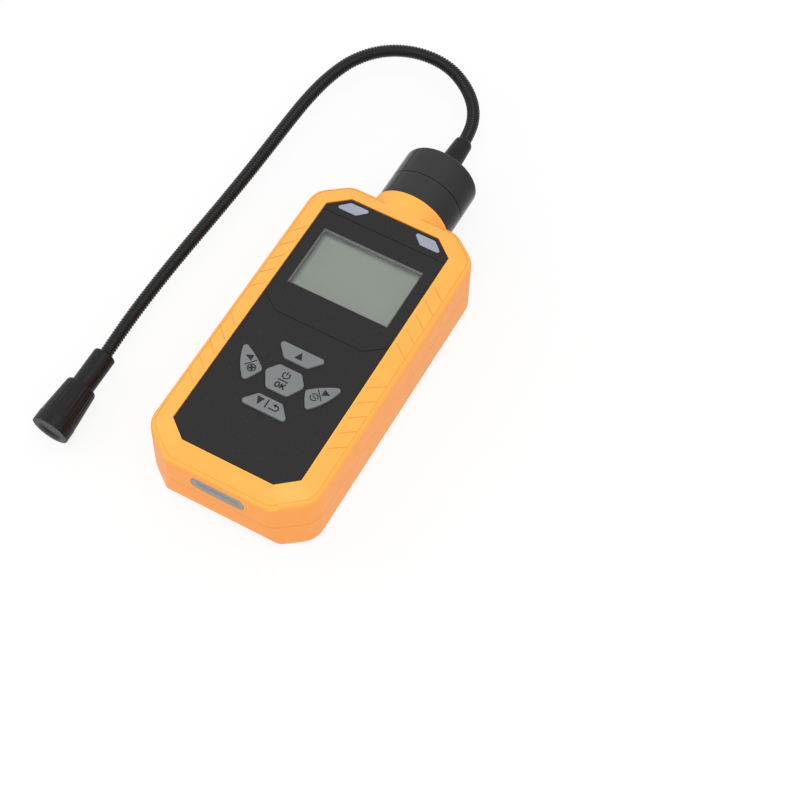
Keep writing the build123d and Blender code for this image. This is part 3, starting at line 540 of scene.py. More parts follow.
@dataclass(frozen=True, kw_only=True)
class CircuitBoard(Coating):
    """Board with tracks under solder mask.

    Attributes:
        track: Colour over the copper.
        cells: Cells of the track pattern a metre.
    """

    track: Colour
    cells: float = 260.0

    def paint(self, sheet: Sheet) -> None:
        """Set the shader and its nodes."""
        pattern = sheet.node("ShaderNodeTexVoronoi", {"Scale": self.cells, "Vector": sheet.place},
                             distance="MANHATTAN", feature="DISTANCE_TO_EDGE")
        lines = sheet.spread(pattern.outputs["Distance"], 1.0, 0.0, 0.04, 0.07)
        sheet.give("Base Color", sheet.blend_colour(lines, self.colour, self.track))
        sheet.bump(lines, 0.00003, 0.5)
        sheet.give("Roughness", self.roughness)


class Finish(Enum):
    """Every finish of the detector, by the part of it that wears it."""

    # Painted shade: the shell's walls are a deeper orange than its top, and its grooves and creases
    # darker; the fine line at the seam is the joint's own dark colour.
    SHELL = Plastic("orange_moulding", (0.99, 0.455, 0.075), 0.46, 2300.0, 0.000018, 0.02, 0.05, 0.42,
                    side=(0.96, 0.345, 0.05), shade_and_seam=(0.60, 0.21, 0.018), seam_z=AXIS_Z * MM)
    PANEL = Plastic("panel_moulding", (0.0185, 0.0170, 0.0172), 0.50, 3000.0, 0.00001, 0.04, 0.02, 0.2,
                    dust=0.07)
    KEY = Plastic("key_moulding", (0.180, 0.190, 0.193), 0.50, 3600.0, 0.00001, 0.03, 0.05, 0.4)
    LEGEND = Plastic("key_legend", (0.010, 0.010, 0.011), 0.5, 3000.0, 0.000005, 0.04, 0.04, 0.3)
    # Painted highlight: the bezel's upright walls are lighter than its lip.
    BEZEL = PaintedWallLight("display_bezel", (0.10, 0.10, 0.098), 0.35, painted_wall_light=(0.24, 0.25, 0.25))
    # Painted shadow: the cell is darker along its upper and left edges.
    GLASS = Cell("display_cell", (0.262, 0.286, 0.252), 0.35, edge_shadow=(0.095, 0.104, 0.099),
                 corner=(-DISPLAY_HALF_WIDTH, DISPLAY_Y + DISPLAY_HALF_LENGTH))
    WINDOW = Pane("window_moulding", (0.97, 0.98, 0.97), 0.05)
    BACKLIGHT = Plastic("light_guide", (0.82, 0.84, 0.86), 0.3, 3000.0, 0.000005, 0.02)
    ALARM = Plastic("alarm_moulding", (0.325, 0.35, 0.425), 0.3, 3600.0, 0.00001, 0.05, 0.05,
                    glow=0.15)
    LIGHT = Plastic("alarm_chip", (0.85, 0.83, 0.62), 0.3)
    # Painted shade: the cap's upright sides darker than its top.
    CAP = Plastic("black_cap", (0.038, 0.037, 0.037), 0.18, 3400.0, 0.000004, 0.10, 0.04, 0.12,
                  dust=0.08, side=(0.006, 0.006, 0.006))
    # Painted shade: the arm's upright sides darker than its top.
    NECK = Plastic("black_neck", (0.008, 0.008, 0.008), 0.20, 3000.0, 0.000002, 0.12, 0.03, 0.22,
                   side=(0.002, 0.002, 0.002))
    # Painted shade: the probe's upright sides darker than its top.
    PROBE = Plastic("black_probe", (0.013, 0.012, 0.012), 0.36, 3000.0, 0.000002, 0.10, 0.04, 0.18,
                    side=(0.003, 0.003, 0.003))
    # Painted shade: the conical mouth is darker down inside.
    MOUTH = Plastic("mouth_ring", (0.052, 0.048, 0.044), 0.45, 2600.0, 0.00001, 0.08, 0.06, 0.15,
                    shade_and_seam=(0.010, 0.009, 0.009), shade_reach=0.005)
    COVER = Plastic("port_rubber", (0.30, 0.295, 0.29), 0.55, 2600.0, 0.00002, 0.06, 0.05, 0.35)
    SEAL = Plastic("seal_rubber", (0.02, 0.02, 0.02), 0.7)
    MAT = Plastic("key_mat", (0.42, 0.42, 0.44), 0.6)
    WRAP = Plastic("battery_wrap", (0.03, 0.09, 0.30), 0.35, 900.0, 0.00002, 0.05, coat=0.4)
    LEAD = Plastic("lead_jacket", (0.45, 0.02, 0.015), 0.4)
    SOCKET = Plastic("socket_body", (0.82, 0.80, 0.72), 0.45)
    DARK_CAN = Plastic("dark_can", (0.03, 0.03, 0.03), 0.4)
    STEEL = Metal("plated_steel", (0.62, 0.62, 0.61), 0.28)
    DARK_STEEL = Metal("black_zinc", (0.16, 0.16, 0.17), 0.36)
    BRASS = Metal("brass_insert", (0.78, 0.58, 0.25), 0.3)
    # The filter disc's own dark metal, darkened further as painted shade at the bottom of the mouth's
    # hole.
    MESH = Metal("sintered_disc_and_hole_shade", (0.020, 0.019, 0.018), 0.6, 4000.0)
    BOARD = CircuitBoard("circuit_board", (0.01, 0.14, 0.05), 0.35, track=(0.03, 0.24, 0.09))

    def material(self) -> bpy.types.Material:
        """Return this finish's material, built once."""
        if self not in BUILT:
            BUILT[self] = self.value.build()
        return BUILT[self]


BUILT: dict[Finish, bpy.types.Material] = {}


def dress(piece: bpy.types.Object, finish: Finish) -> None:
    """Give the whole of a piece one finish."""
    piece.data.materials.clear()
    piece.data.materials.append(finish.material())


def dress_nodes(wear: dict[str, Finish]) -> None:
    """Give carried-over nodes their finishes, and shade their curved faces smooth."""
    for node, finish in wear.items():
        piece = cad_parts[node]
        dress(piece, finish)
        piece.modifiers.new("soft_shading", "NODES").node_group = soft_shading()
        LOG.info("dressed %s as %s", node, finish.name)


def stand_in(piece: bpy.types.Object, node: str, finish: Finish, body: str) -> None:
    """Dress a new piece and set it on a body in place of a node."""
    dress(piece, finish)
    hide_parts(node)
    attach(piece, body)
    LOG.info("built %s", piece.name)


# Angle in degrees over which an edge stays sharp, and the reach in metres of the merge.
SHARP_ANGLE = 32
MERGE_REACH = 2e-6


def soft_shading() -> bpy.types.NodeTree:
    """Return the modifier group that merges a node's corners and shades its gentle edges smooth.

    An edge stays sharp where the angle between its faces is over SHARP_ANGLE.
    """
    name = "soft_shading"
    if name in bpy.data.node_groups:
        return bpy.data.node_groups[name]
    tree = bpy.data.node_groups.new(name, "GeometryNodeTree")
    for way in ("INPUT", "OUTPUT"):
        tree.interface.new_socket("Geometry", in_out=way, socket_type="NodeSocketGeometry")
    entry = new_node(tree, "NodeGroupInput")
    merge = new_node(tree, "GeometryNodeMergeByDistance", {
        "Geometry": entry.outputs[0], "Distance": MERGE_REACH})
    faces = new_node(tree, "GeometryNodeSetShadeSmooth", {"Geometry": merge.outputs[0]}, domain="FACE")
    angle = new_node(tree, "GeometryNodeInputMeshEdgeAngle")
    sharp = new_node(tree, "FunctionNodeCompare", {
        "A": angle.outputs["Unsigned Angle"], "B": float(np.radians(SHARP_ANGLE))})
    edges = new_node(tree, "GeometryNodeSetShadeSmooth", {
        "Geometry": faces.outputs[0], "Selection": sharp.outputs["Result"], "Shade Smooth": False,
    }, domain="EDGE")
    new_node(tree, "NodeGroupOutput", {0: edges.outputs[0]})
    return tree


# Flat shapes for the key legends


@dataclass(frozen=True)
class Ink:
    """Flat printed shapes, laid a hair above a surface.

    Attributes:
        height: Height of the surface in millimetres.
        lift: How far the print stands above it.
    """

    height: float
    lift: float = 0.03

    def place(self, outline: Array) -> Array:
        """Return an outline of n by 2 as n by 3 at the print's height."""
        level = np.full((len(outline), 1), self.height + self.lift)
        return np.hstack([outline, level])

    def band(self, line: Array | list[tuple[float, float]], width: float,
             closed: bool = False) -> tuple[Array, Array]:
        """Band of even width along a line.

        Each point moves half the width to either side along the line's normal there.

        Args:
            line: Array of n by 2 places.
            width: Width of the band.
            closed: Whether the line is a loop.

        Returns:
            Points and quads.
        """
        line = np.asarray(line, float)
        if closed:
            slope = np.roll(line, -1, axis=0) - np.roll(line, 1, axis=0)
        else:
            slope = np.gradient(line, axis=0)
        slope = unit(slope)
        normal = np.stack([-slope[:, 1], slope[:, 0]], axis=1) * width / 2
        pairs = np.stack([self.place(line - normal), self.place(line + normal)], axis=1)
        count = len(line)
        here = np.arange(count if closed else count - 1)
        ahead = (here + 1) % count
        quads = np.stack([2 * here, 2 * ahead, 2 * ahead + 1, 2 * here + 1], axis=1)
        return pairs.reshape(-1, 3), quads

    def wedge(self, corners: list[tuple[float, float]]) -> tuple[Array, Array]:
        """Filled triangle as one quad whose last corner halves its last side."""
        spots = np.array(corners, float)
        spots = np.vstack([spots, (spots[2] + spots[0]) / 2])
        return self.place(spots), np.array([[0, 1, 2, 3]])


def circle_line(centre: tuple[float, float], radius: float, start: float = 0.0, end: float = 360.0,
                steps: int = 40) -> Array:
    """Circle or arc: centre + radius (cos, sin). A whole circle leaves out its last point.

    Args:
        centre: Middle of the circle.
        radius: Its radius.
        start: First angle in degrees.
        end: Last angle in degrees.
        steps: Number of points.

    Returns:
        Array of n by 2 places.
    """
    share = np.linspace(0, 1, steps, endpoint=end - start != 360)
    angle = np.radians(start + (end - start) * share)
    return np.array(centre) + radius * np.stack([np.cos(angle), np.sin(angle)], axis=1)


def merge_flat(parts: list[tuple[Array, Array]]) -> tuple[Array, Array]:
    """Stack several point and quad arrays into one, with all faces turned up."""
    points, faces, first = [], [], 0
    for spots, quads in parts:
        a, b, c = spots[quads[:, 0]], spots[quads[:, 1]], spots[quads[:, 2]]
        facing_up = np.cross(b - a, c - b)[:, 2] > 0
        quads = np.where(facing_up[:, None], quads, quads[:, ::-1])
        points.append(spots)
        faces.append(quads + first)
        first += len(spots)
    return np.vstack(points), np.vstack(faces)


# Sub-assemblies


@dataclass
class Housing:
    """The two shells with the panel, the seal and the screws.

    Attributes:
        wear: Finish of each node.
    """

    wear: dict[str, Finish] = field(default_factory=lambda: {
        "front_shell": Finish.SHELL, "back_shell": Finish.SHELL, "front_panel": Finish.PANEL,
        "shell_seal": Finish.SEAL, "clip_insert": Finish.BRASS, "port_cover": Finish.COVER,
        "usb_socket": Finish.STEEL, **{f"case_screw_{n}": Finish.DARK_STEEL for n in range(1, 5)},
    })

    def build(self) -> None:
        """Dress the carried-over nodes of the housing."""
        dress_nodes(self.wear)


@dataclass
class Display:
    """Display in the panel opening: bezel, clear window, glass and backlight.

    Attributes:
        half_width: Half the width of the clear window.
        half_length: Half its length.
        middle_y: Where its middle lies.
        top_z: Height of its outer face.
        thickness: Thickness of the window.
    """

    half_width: float = DISPLAY_HALF_WIDTH
    half_length: float = DISPLAY_HALF_LENGTH
    middle_y: float = DISPLAY_Y
    top_z: float = 34.3
    thickness: float = 0.9

    def window(self) -> bpy.types.Object:
        """Build the clear window as a thin box with eased edges, a stack of rectangles."""
        profile = rounded_profile([
            (0.0, -self.thickness, 0), (0.0, 0.0, 0.12), (-0.4, 0.0, 0)], 5)
        corners = np.array([[1, 1], [-1, 1], [-1, -1], [1, -1]], float)
        size = np.array([self.half_width, self.half_length])
        rings = np.stack([
            np.hstack([corners * (size + inset) + [0, self.middle_y], np.full((4, 1), self.top_z + level)])
            for inset, level in profile])
        return put_mesh("clear_window", *closed_tube(rings), smooth=False)

    def build(self) -> None:
        """Replace the window node and dress the rest of the stack."""
        stand_in(self.window(), "display_window", Finish.WINDOW, "housing")
        dress_nodes({"display_frame": Finish.BEZEL, "display_glass": Finish.GLASS,
                     "display_backlight": Finish.BACKLIGHT})


@dataclass
class Keypad:
    """Five keys with printed legends.

    Attributes:
        stroke: Width of the printed lines.
        thin: Share of it in the slashes and rings.
        bold: Share of it in the letters.
        print_depth: Thickness of the print.
    """

    stroke: float = 0.56
    thin: float = 0.8
    bold: float = 1.15
    print_depth: float = 0.02

    def blade(self, ink: Ink, hub: tuple[float, float], turn: float) -> tuple[Array, Array]:
        """One fan blade of four corners, narrow at the hub and wide at the ring."""
        angle = np.radians([turn + 180, turn - 8, turn + 30, turn + 62])
        reach = np.array([0.15, 1.3, 1.35, 0.95])
        corners = np.array(hub) + reach[:, None] * np.stack([np.cos(angle), np.sin(angle)], axis=1)
        return ink.place(corners), np.array([[0, 1, 2, 3]])

    def legends(self, ink: Ink) -> dict[str, list[tuple[Array, Array]]]:
        """Shapes of each key's legend.

        Up has an arrowhead. Down has one with a bar and an arrow that turns back over a half circle.
        Centre has a power sign over a bar and the word OK. Left has an arrowhead, a slash and a fan
        in a ring, and right has an arrowhead, a slash and a ring in two arcs with a slanting bar.
        """
        line, fine, bold = self.stroke, self.stroke * self.thin, self.stroke * self.bold
        turn_back = circle_line((4.0, -36.75), 1.1, -90, 90, 16)
        oval = circle_line((0, 0), 1.0, steps=36) * [0.86, 1.05] + [-1.15, -26.85]
        fan, split = (-13.75, -25.2), (14.25, -24.95)
        return {
            "up_key": [ink.wedge([(0.1, -9.6), (-1.6, -13.0), (1.8, -13.0)])],
            "down_key": [
                ink.wedge([(-5.1, -34.9), (-3.4, -38.5), (-1.8, -34.9)]),
                ink.band([(-0.15, -34.4), (-0.15, -38.4)], line),
                ink.band(np.vstack([[(1.3, -37.85)], turn_back, [(3.4, -35.65)]]), line),
                ink.wedge([(2.2, -35.65), (3.7, -34.8), (3.7, -36.5)]),
            ],
            "centre_key": [
                ink.band(circle_line((0, -21.75), 1.5, 128, 412, 36), line),
                ink.band([(0.0, -21.7), (0.0, -19.9)], line),
                ink.band([(-2.3, -24.5), (2.3, -24.5)], line),
                ink.band(oval, bold, closed=True),
                ink.band([(0.5, -25.6), (0.5, -28.1)], bold),
                ink.band([(0.55, -27.1), (2.1, -25.6)], bold),
                ink.band([(1.1, -26.7), (2.15, -28.1)], bold),
            ],
            "left_key": [
                ink.wedge([(-18.8, -21.1), (-15.6, -19.6), (-15.6, -22.6)]),
                ink.band([(-13.5, -21.2), (-17.0, -25.3)], fine),
                ink.band(circle_line(fan, 1.65), fine, closed=True),
                *[self.blade(ink, fan, turn) for turn in (10, 100, 190, 280)],
            ],
            "right_key": [
                ink.wedge([(19.5, -21.4), (16.35, -23.0), (16.35, -19.9)]),
                ink.band([(14.05, -21.2), (17.6, -25.3)], fine),
                ink.band(circle_line(split, 1.55, -8, 152, 30), fine),
                ink.band(circle_line(split, 1.55, 172, 332, 30), fine),
                ink.band([(13.2, -24.75), (14.4, -24.7), (14.1, -25.2), (15.35, -25.15)], fine),
            ],
        }

    def build(self) -> None:
        """Dress the keys and lay their legends."""
        for key, shapes in self.legends(Ink(KEY_TOP_Z)).items():
            dress_nodes({key: Finish.KEY})
            print_piece = put_mesh(f"{key}_legend", *merge_flat(shapes), smooth=False)
            thicken = print_piece.modifiers.new("thickness", "SOLIDIFY")
            thicken.thickness = self.print_depth * MM
            thicken.offset = -1
            dress(print_piece, Finish.LEGEND)
            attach(print_piece, key)


@dataclass
class SensorCap:
    """Lower cap, upper cap and the sleeve that holds the gooseneck, on the collar's axis.

    Attributes:
        radius: Outer radius of both caps.
        edge: Rounding of the upper cap's outer edge.
        seam: Width of the seam between the caps.
        axis: Axis of the collar, with distance read along Y.
    """

    radius: float = 17.0
    edge: float = 1.6
    seam: float = 0.22
    axis: Axis = Axis((0.0, 0.0, AXIS_Z), (0.0, 1.0, 0.0))

    def lower(self) -> bpy.types.Object:
        """Build the lower cap with an eased edge at the seam."""
        profile = rounded_profile([
            (9.0, COLLAR_END_Y - 4.0, 0), (13.0, COLLAR_END_Y - 4.0, 0), (13.0, COLLAR_END_Y + 0.2, 0),
            (self.radius, COLLAR_END_Y + 0.2, 0.5), (self.radius, CAP_SEAM_Y - self.seam, 0.25),
            (14.4, CAP_SEAM_Y - self.seam, 0)])
        return turned("lower_cap", self.axis, refine(profile, 2.0))

    def upper(self) -> bpy.types.Object:
        """Build the upper cap with its rounded outer edge."""
        profile = rounded_profile([
            (14.4, CAP_SEAM_Y - 0.6, 0), (14.4, CAP_SEAM_Y, 0), (self.radius, CAP_SEAM_Y, 0.25),
            (self.radius, CAP_END_Y, self.edge), (4.9, CAP_END_Y, 0)], 9)
        return turned("upper_cap", self.axis, refine(profile, 2.0))

    def sleeve(self) -> bpy.types.Object:
        """Build the tapering sleeve with its foot and rounded lip."""
        profile = rounded_profile([
            (4.9, CAP_END_Y - 1.0, 0), (6.2, CAP_END_Y - 1.0, 0), (6.2, CAP_END_Y + 1.2, 0.6),
            (4.9, CAP_END_Y + 2.0, 0.6), (4.35, SLEEVE_END_Y - 7.0, 6.0), (4.0, SLEEVE_END_Y - 1.2, 1.6),
            (3.15, SLEEVE_END_Y, 0.5), (2.6, SLEEVE_END_Y, 0)])
        return turned("neck_socket", self.axis, refine(profile, 1.0), 64)

    def build(self) -> None:
        """Build the three turned pieces in place of their nodes."""
        for piece, node, finish in ((self.lower(), "sensor_base", Finish.CAP),
                                    (self.upper(), "probe_cap", Finish.CAP),
                                    (self.sleeve(), "neck_sleeve", Finish.PROBE)):
            stand_in(piece, node, finish, "housing")


# Corners of the arm's route, from inside the upper cap to inside the probe.
NECK_ROUTE = np.array([
    (0.0, 110.6, 17.8), (0.0, 132.8, 17.8), (-3.7, 145.4, 17.8), (-12.8, 155.8, 17.8),
    (-26.1, 163.2, 17.8), (-41.5, 163.5, 17.8), (-55.4, 157.0, 17.8), (-64.8, 145.0, 17.8),
    (-69.2, 130.1, 17.7), (-71.0, 114.7, 17.7), (-71.5, 99.3, 17.6), (-71.8, 83.8, 17.6),
    (-72.2, 68.4, 17.5), (-72.9, 53.0, 17.3), (-73.9, 37.5, 16.9), (-75.0, 22.1, 16.4),
    (-75.9, 6.7, 15.8), (-76.6, -8.3, 14.9), (-76.9, -22.6, 13.8), PROBE_START,
    (-77.13, -45.43, 11.43),
])


@dataclass
class Gooseneck:
    """Ribbed arm between the cap and the probe, in one piece for each bend.

    Attributes:
        core: Radius at the bottom of the ribs.
        crest: Radius on top of the ribs.
        pitch: Distance between ribs.
        rows_a_rib: Rings of the mesh in one rib.
        columns: Points round the arm.
        sharpness: Power of the ribs' wave, which narrows their crests.
        samples: Places on the line in each of its spans.
        slope_step: Distance to either side at which the line's slope is read.
        bend: Shares of a piece's length at which its bend starts and ends; not used.
    """

    core: float = 2.5
    crest: float = 2.84
    pitch: float = 1.35
    rows_a_rib: int = 7
    columns: int = 36
    sharpness: float = 1.1
    samples: int = 400
    slope_step: float = 0.5
    bend: tuple[float, float] = (0.26, 0.74)

    def centre_line(self) -> tuple[Array, Array]:
        """Sample the arm's line and where each joint's run has its middle.

        Between the middles of two runs the line is the quadratic curve
        (1 - t)^2 A + 2 t (1 - t) V + t^2 B, with V the route's corner between them.

        Returns:
            Sampled places, and the index of the sample at each run's middle.
        """
        middles = (NECK_ROUTE[:-1] + NECK_ROUTE[1:]) / 2
        share = np.linspace(0, 1, self.samples, endpoint=False)[:, None]
        spans = [(1 - share) ** 2 * a + 2 * share * (1 - share) * v + share ** 2 * b
                 for a, v, b in zip(middles[:-1], NECK_ROUTE[1:-1], middles[1:])]
        head = np.linspace(NECK_ROUTE[0], middles[0], self.samples, endpoint=False)
        tail = np.linspace(middles[-1], NECK_ROUTE[-1], self.samples)
        line = np.vstack([head, *spans, tail])
        marks = self.samples * (1 + np.arange(len(middles)))
        return line, marks

    def skin(self, line: Array, run: Array, start: float, end: float) -> Array:
        """Ribbed surface of one stretch of the arm.

        Radius is core + (crest - core) (0.5 + 0.5 cos(2 pi (s / pitch - u / 2 pi)))^sharpness, a
        thread that climbs one pitch in a turn. Each point is centre + radius (cos u side + sin u up).

        Args:
            line: Places along the whole arm.
            run: Distance of each place along it.
            start: Distance at which the stretch begins.
            end: Distance at which it ends.

        Returns:
            Rings of points.
        """
        rows = int(round((end - start) / self.pitch * self.rows_a_rib))
        stations = np.linspace(start, end, rows)
        behind, centre, ahead = (
            np.stack([np.interp(stations + step, run, line[:, i]) for i in range(3)], axis=1)
            for step in (-self.slope_step, 0.0, self.slope_step))
        angle = np.linspace(0, 2 * np.pi, self.columns, endpoint=False)
        wave = np.cos(2 * np.pi * stations[:, None] / self.pitch - angle)
        radius = self.core + (self.crest - self.core) * (0.5 + 0.5 * wave) ** self.sharpness
        return centre[:, None] + radius[..., None] * round_about(unit(ahead - behind), angle)

    def build(self) -> None:
        """Build one curved piece for each joint, each in place of the solids it covers."""
        line, marks = self.centre_line()
        run = np.concatenate([[0.0], np.cumsum(np.linalg.norm(np.diff(line, axis=0), axis=1))])
        joint_runs = range(2, 17, 2)
        for number, joint in enumerate(joint_runs):
            first = 0 if number == 0 else marks[joint - 1]
            last = len(line) - 1 if number == len(joint_runs) - 1 else marks[joint + 1]
            rings = self.skin(line, run, run[first], run[last])
            piece = put_mesh(f"ribbed_arm_{number + 1}", *closed_tube(rings))
            dress(piece, Finish.NECK)
            covered = [f"neck_{number + 1}"] + (["neck_9"] if number == 7 else [])
            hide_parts(*covered)
            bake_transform(piece)
        LOG.info("built the arm, %.0f mm long", run[-1])


@dataclass
class Probe:
    """Probe at the end of the arm: sleeve, fluted head and mouth ring on one axis.

    Attributes:
        sleeve_radius: Radius of the plain sleeve.
        sleeve_length: Length of the sleeve in front of the head.
        top_radius: Radius of the head at the sleeve.
        step_radius: Radius where the flutes end.
        face_radius: Radius at the face.
        cone_end: Distance at which the flutes end.
        face_end: Distance of the face.
        mouth_radius: Radius of the mouth ring.
        flutes: Number of flutes.
        flute_depth: Depth of each flute.
        columns_a_flute: Points of the mesh across one flute.
        axis: Axis of the probe, from the top of its sleeve to its face.
    """

    sleeve_radius: float = 4.9
    sleeve_length: float = 16.4
    top_radius: float = 6.6
    step_radius: float = 7.95
    face_radius: float = 8.15
    cone_end: float = 33.6
    face_end: float = 39.0
    mouth_radius: float = 7.5
    flutes: int = 24
    flute_depth: float = 0.16
    columns_a_flute: int = 12
    axis: Axis = Axis(PROBE_START, (-0.037, -0.9934, -0.1082))

    def sleeve(self) -> bpy.types.Object:
        """Build the plain sleeve with its eased top edge."""
        profile = rounded_profile([
            (2.4, 0.0, 0), (self.sleeve_radius, 0.0, 0.9),
            (self.sleeve_radius, self.sleeve_length + 1.5, 0), (2.0, self.sleeve_length + 1.5, 0)], 8)
        return turned("probe_collar", self.axis, refine(profile, 1.5), 64)

    def head(self) -> bpy.types.Object:
        """Build the fluted head.

        Radius is the cone's less flute_depth times a hollow that repeats round the head,
        (0.5 - 0.5 cos(n u))^0.5 turned over, faded in and out along the cone.
        """
        profile = rounded_profile([
            (3.0, self.sleeve_length, 0), (self.top_radius, self.sleeve_length, 1.3),
            (self.step_radius, self.cone_end, 0.3), (self.step_radius + 0.15, self.cone_end + 0.25, 0.1),
            (self.face_radius, self.face_end - 0.1, 0.3), (self.face_radius - 0.3, self.face_end, 0.1),
            (self.mouth_radius, self.face_end, 0), (self.mouth_radius, self.face_end - 0.6, 0)], 8)
        profile = refine(profile, 0.5)
        columns = self.flutes * self.columns_a_flute
        angle = np.linspace(0, 2 * np.pi, columns, endpoint=False)
        distance = profile[:, 1]
        fade_in = np.clip((distance - self.sleeve_length - 0.3) / 1.2, 0, 1)
        fade_out = np.clip((self.cone_end - 0.9 - distance) / 0.8, 0, 1)
        outer = profile[:, 0] > self.top_radius - 1.2
        hollow = 1 - np.sqrt(0.5 - 0.5 * np.cos(self.flutes * angle))
        depth = self.flute_depth * (fade_in * fade_out * outer)[:, None] * hollow[None]
        rings = self.axis.sweep(profile[:, :1] - depth, distance[:, None], angle)
        return put_mesh("fluted_head", *closed_tube(rings))

    def mouth(self) -> bpy.types.Object:
        """Build the grey ring with its conical mouth and small centre hole."""
        profile = rounded_profile([
            (7.2, self.face_end - 1.5, 0), (self.mouth_radius, self.face_end - 1.5, 0),
            (self.mouth_radius, self.face_end, 0.2), (5.7, self.face_end, 0.25),
            (1.5, self.face_end - 2.9, 0.2), (1.3, self.face_end - 3.5, 0)])
        return turned("mouth_cone", self.axis, refine(profile, 0.8), 72)

    def build(self) -> None:
        """Build the probe's three turned pieces in place of their nodes."""
        for piece, node, finish, slot in (
            (self.sleeve(), "probe_sleeve", Finish.PROBE, "black_plastic"),
            (self.head(), "probe_head", Finish.PROBE, "black_plastic"),
            (self.mouth(), "mouth_ring", Finish.MOUTH, "mouth_grey"),
        ):
            stand_in(piece, node, finish, "probe")
        # The filter is dressed dark, as painted shade at the bottom of the mouth's hole.
        dress(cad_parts["probe_filter"], Finish.MESH)
        dress(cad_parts["gas_element"], Finish.STEEL)


@dataclass
class Inside:
    """What the housing holds, and the alarm windows that show it.

    Attributes:
        wear: Finish of each node.
    """

    wear: dict[str, Finish] = field(default_factory=lambda: {
        "main_board": Finish.BOARD, "cap_board": Finish.BOARD, "key_mat": Finish.MAT,
        "left_alarm_window": Finish.ALARM, "right_alarm_window": Finish.ALARM,
        "left_alarm_light": Finish.LIGHT, "right_alarm_light": Finish.LIGHT,
        "buzzer": Finish.DARK_CAN, "vibration_motor": Finish.STEEL, "battery": Finish.WRAP,
        "battery_leads": Finish.LEAD, "battery_socket": Finish.SOCKET, "line_socket": Finish.SOCKET,
        "line_plug": Finish.SOCKET, "cap_seal": Finish.SEAL,
        **{f"board_screw_{n}": Finish.STEEL for n in range(1, 5)},
    })

    def build(self) -> None:
        """Dress every inner node."""
        dress_nodes(self.wear)


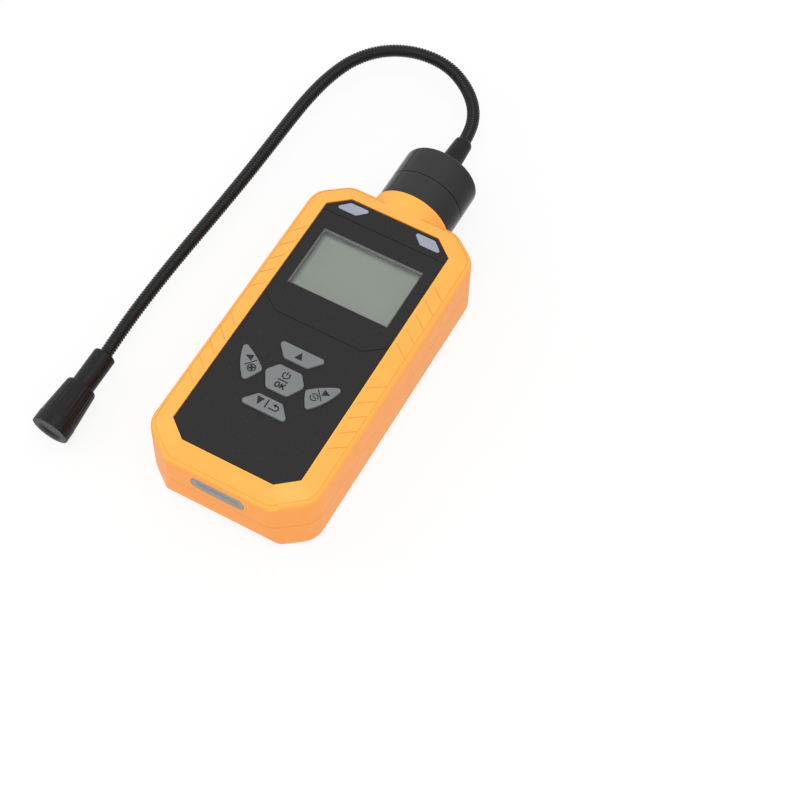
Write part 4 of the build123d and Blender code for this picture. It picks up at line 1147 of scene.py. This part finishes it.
@dataclass
class Studio:
    """Camera, floor and soft light.

    Attributes:
        place: Where the camera stands, in metres.
        right: Camera's right in the object's frame.
        up: Camera's up.
        back: Opposite of its line of sight.
        lens: Focal length for a 36 mm wide frame.
        white_share: How much of the floor that the camera sees is plain white.
        soft_light: Strength of the even light from all round.
        floor_half: Half the floor's side in millimetres.
        floor_gap: How far the floor lies under the object, in millimetres.
        aim: Place that the lamps face, in metres.
    """

    place: tuple[float, float, float] = (0.23008, -0.37941, 0.70678)
    right: tuple[float, float, float] = (0.87653, 0.48086, 0.02152)
    up: tuple[float, float, float] = (-0.41924, 0.74070, 0.52498)
    back: tuple[float, float, float] = (0.23651, -0.46918, 0.85084)
    lens: float = 91.86
    white_share: float = 0.85
    soft_light: float = 0.74
    floor_half: float = 4000.0
    floor_gap: float = 0.05
    aim: tuple[float, float, float] = (-0.02, 0.04, 0.0)

    def camera(self) -> None:
        """Stand the camera where the photographer's was."""
        data = bpy.data.cameras.new("camera")
        data.sensor_width = 36.0
        data.lens = self.lens
        data.clip_start = 0.01
        camera = bpy.data.objects.new("camera", data)
        turn = Matrix((self.right, self.up, self.back)).transposed()
        camera.matrix_world = Matrix.Translation(self.place) @ turn.to_4x4()
        bpy.context.scene.collection.objects.link(camera)
        bpy.context.scene.camera = camera

    def floor(self) -> None:
        """Lay a pale floor under the object, shown mostly white to the camera and to reflections."""
        corners = np.array([(-1, -1, 0), (1, -1, 0), (1, 1, 0), (-1, 1, 0)], float) * self.floor_half
        corners[:, 2] = CAD_BOX[0].z / MM - self.floor_gap
        floor = put_mesh("floor", corners, np.array([[0, 1, 2, 3]]), smooth=False)
        sheet = Sheet("floor_paper")
        cloud = sheet.spread(sheet.noise(9.0), 0.0, 1.0)
        sheet.give("Base Color", sheet.blend_colour(cloud, (0.93, 0.93, 0.93), (0.95, 0.95, 0.95)))
        sheet.give("Roughness", 0.9)
        sheet.give("Specular IOR Level", 0.1)
        self.show_white(sheet.tree, sheet.shader.outputs["BSDF"], "ShaderNodeEmission",
                        sheet.tree.nodes["Material Output"], self.white_share)
        floor.data.materials.append(sheet.material)

    def show_white(self, tree: bpy.types.NodeTree, lit: bpy.types.NodeSocket, kind: str,
                   output: bpy.types.Node, share: float) -> None:
        """Show plain white to the camera, to reflections and through windows, but not to light.

        Args:
            tree: Nodes of the floor or the world.
            lit: Shader that lights the object.
            kind: Kind of node that glows white there.
            output: The tree's output.
            share: How much of what is seen is white.
        """
        rays = new_node(tree, "ShaderNodeLightPath").outputs
        seen = rays["Is Camera Ray"]
        for ray in ("Is Glossy Ray", "Is Transmission Ray"):
            seen = calculate(tree, "MAXIMUM", seen, rays[ray])
        white = new_node(tree, kind, {"Color": WHITE, "Strength": 1.0})
        mix = new_node(tree, "ShaderNodeMixShader", {
            0: calculate(tree, "MULTIPLY", seen, share), 1: lit, 2: white.outputs[0]})
        feed(output.inputs["Surface"], mix.outputs[0])

    def surroundings(self) -> None:
        """Light the object evenly from all round, and show plain white behind it."""
        world = bpy.data.worlds.new("studio")
        world.use_nodes = True
        tree = world.node_tree
        light = tree.nodes["Background"]
        feed(light.inputs["Color"], WHITE)
        feed(light.inputs["Strength"], self.soft_light)
        self.show_white(tree, light.outputs["Background"], "ShaderNodeBackground",
                        tree.nodes["World Output"], 1.0)
        bpy.context.scene.world = world

    def lamp(self, name: str, place: tuple[float, float, float], size: float, power: float) -> None:
        """Hang a square soft lamp that faces the object.

        Args:
            name: Name of the lamp.
            place: Where it hangs, in metres.
            size: Length of its side in metres.
            power: Power in watts.
        """
        data = bpy.data.lights.new(name, "AREA")
        data.size = size
        data.energy = power
        lamp = bpy.data.objects.new(name, data)
        lamp.location = place
        lamp.rotation_mode = "QUATERNION"
        lamp.rotation_quaternion = (Vector(self.aim) - Vector(place)).to_track_quat("-Z", "Y")
        bpy.context.scene.collection.objects.link(lamp)

    def build(self) -> None:
        """Set up the camera, floor, lamps and world."""
        self.camera()
        self.floor()
        self.lamp("key_softbox", (0.32, -0.40, 1.45), 1.1, 9.0)
        self.lamp("left_fill", (-1.3, -0.2, 0.8), 0.9, 3.0)
        self.surroundings()
        bpy.context.scene.view_settings.view_transform = "Standard"


def main() -> None:
    """Build every sub-assembly in order and log each as it finishes."""
    logging.basicConfig(level=logging.INFO, format="%(name)s: %(message)s")
    for part in (Studio(), Housing(), Display(), Keypad(), SensorCap(), Gooseneck(), Probe(), Inside()):
        part.build()
        LOG.info("finished %s", type(part).__name__)


if __name__ == "__main__":
    main()
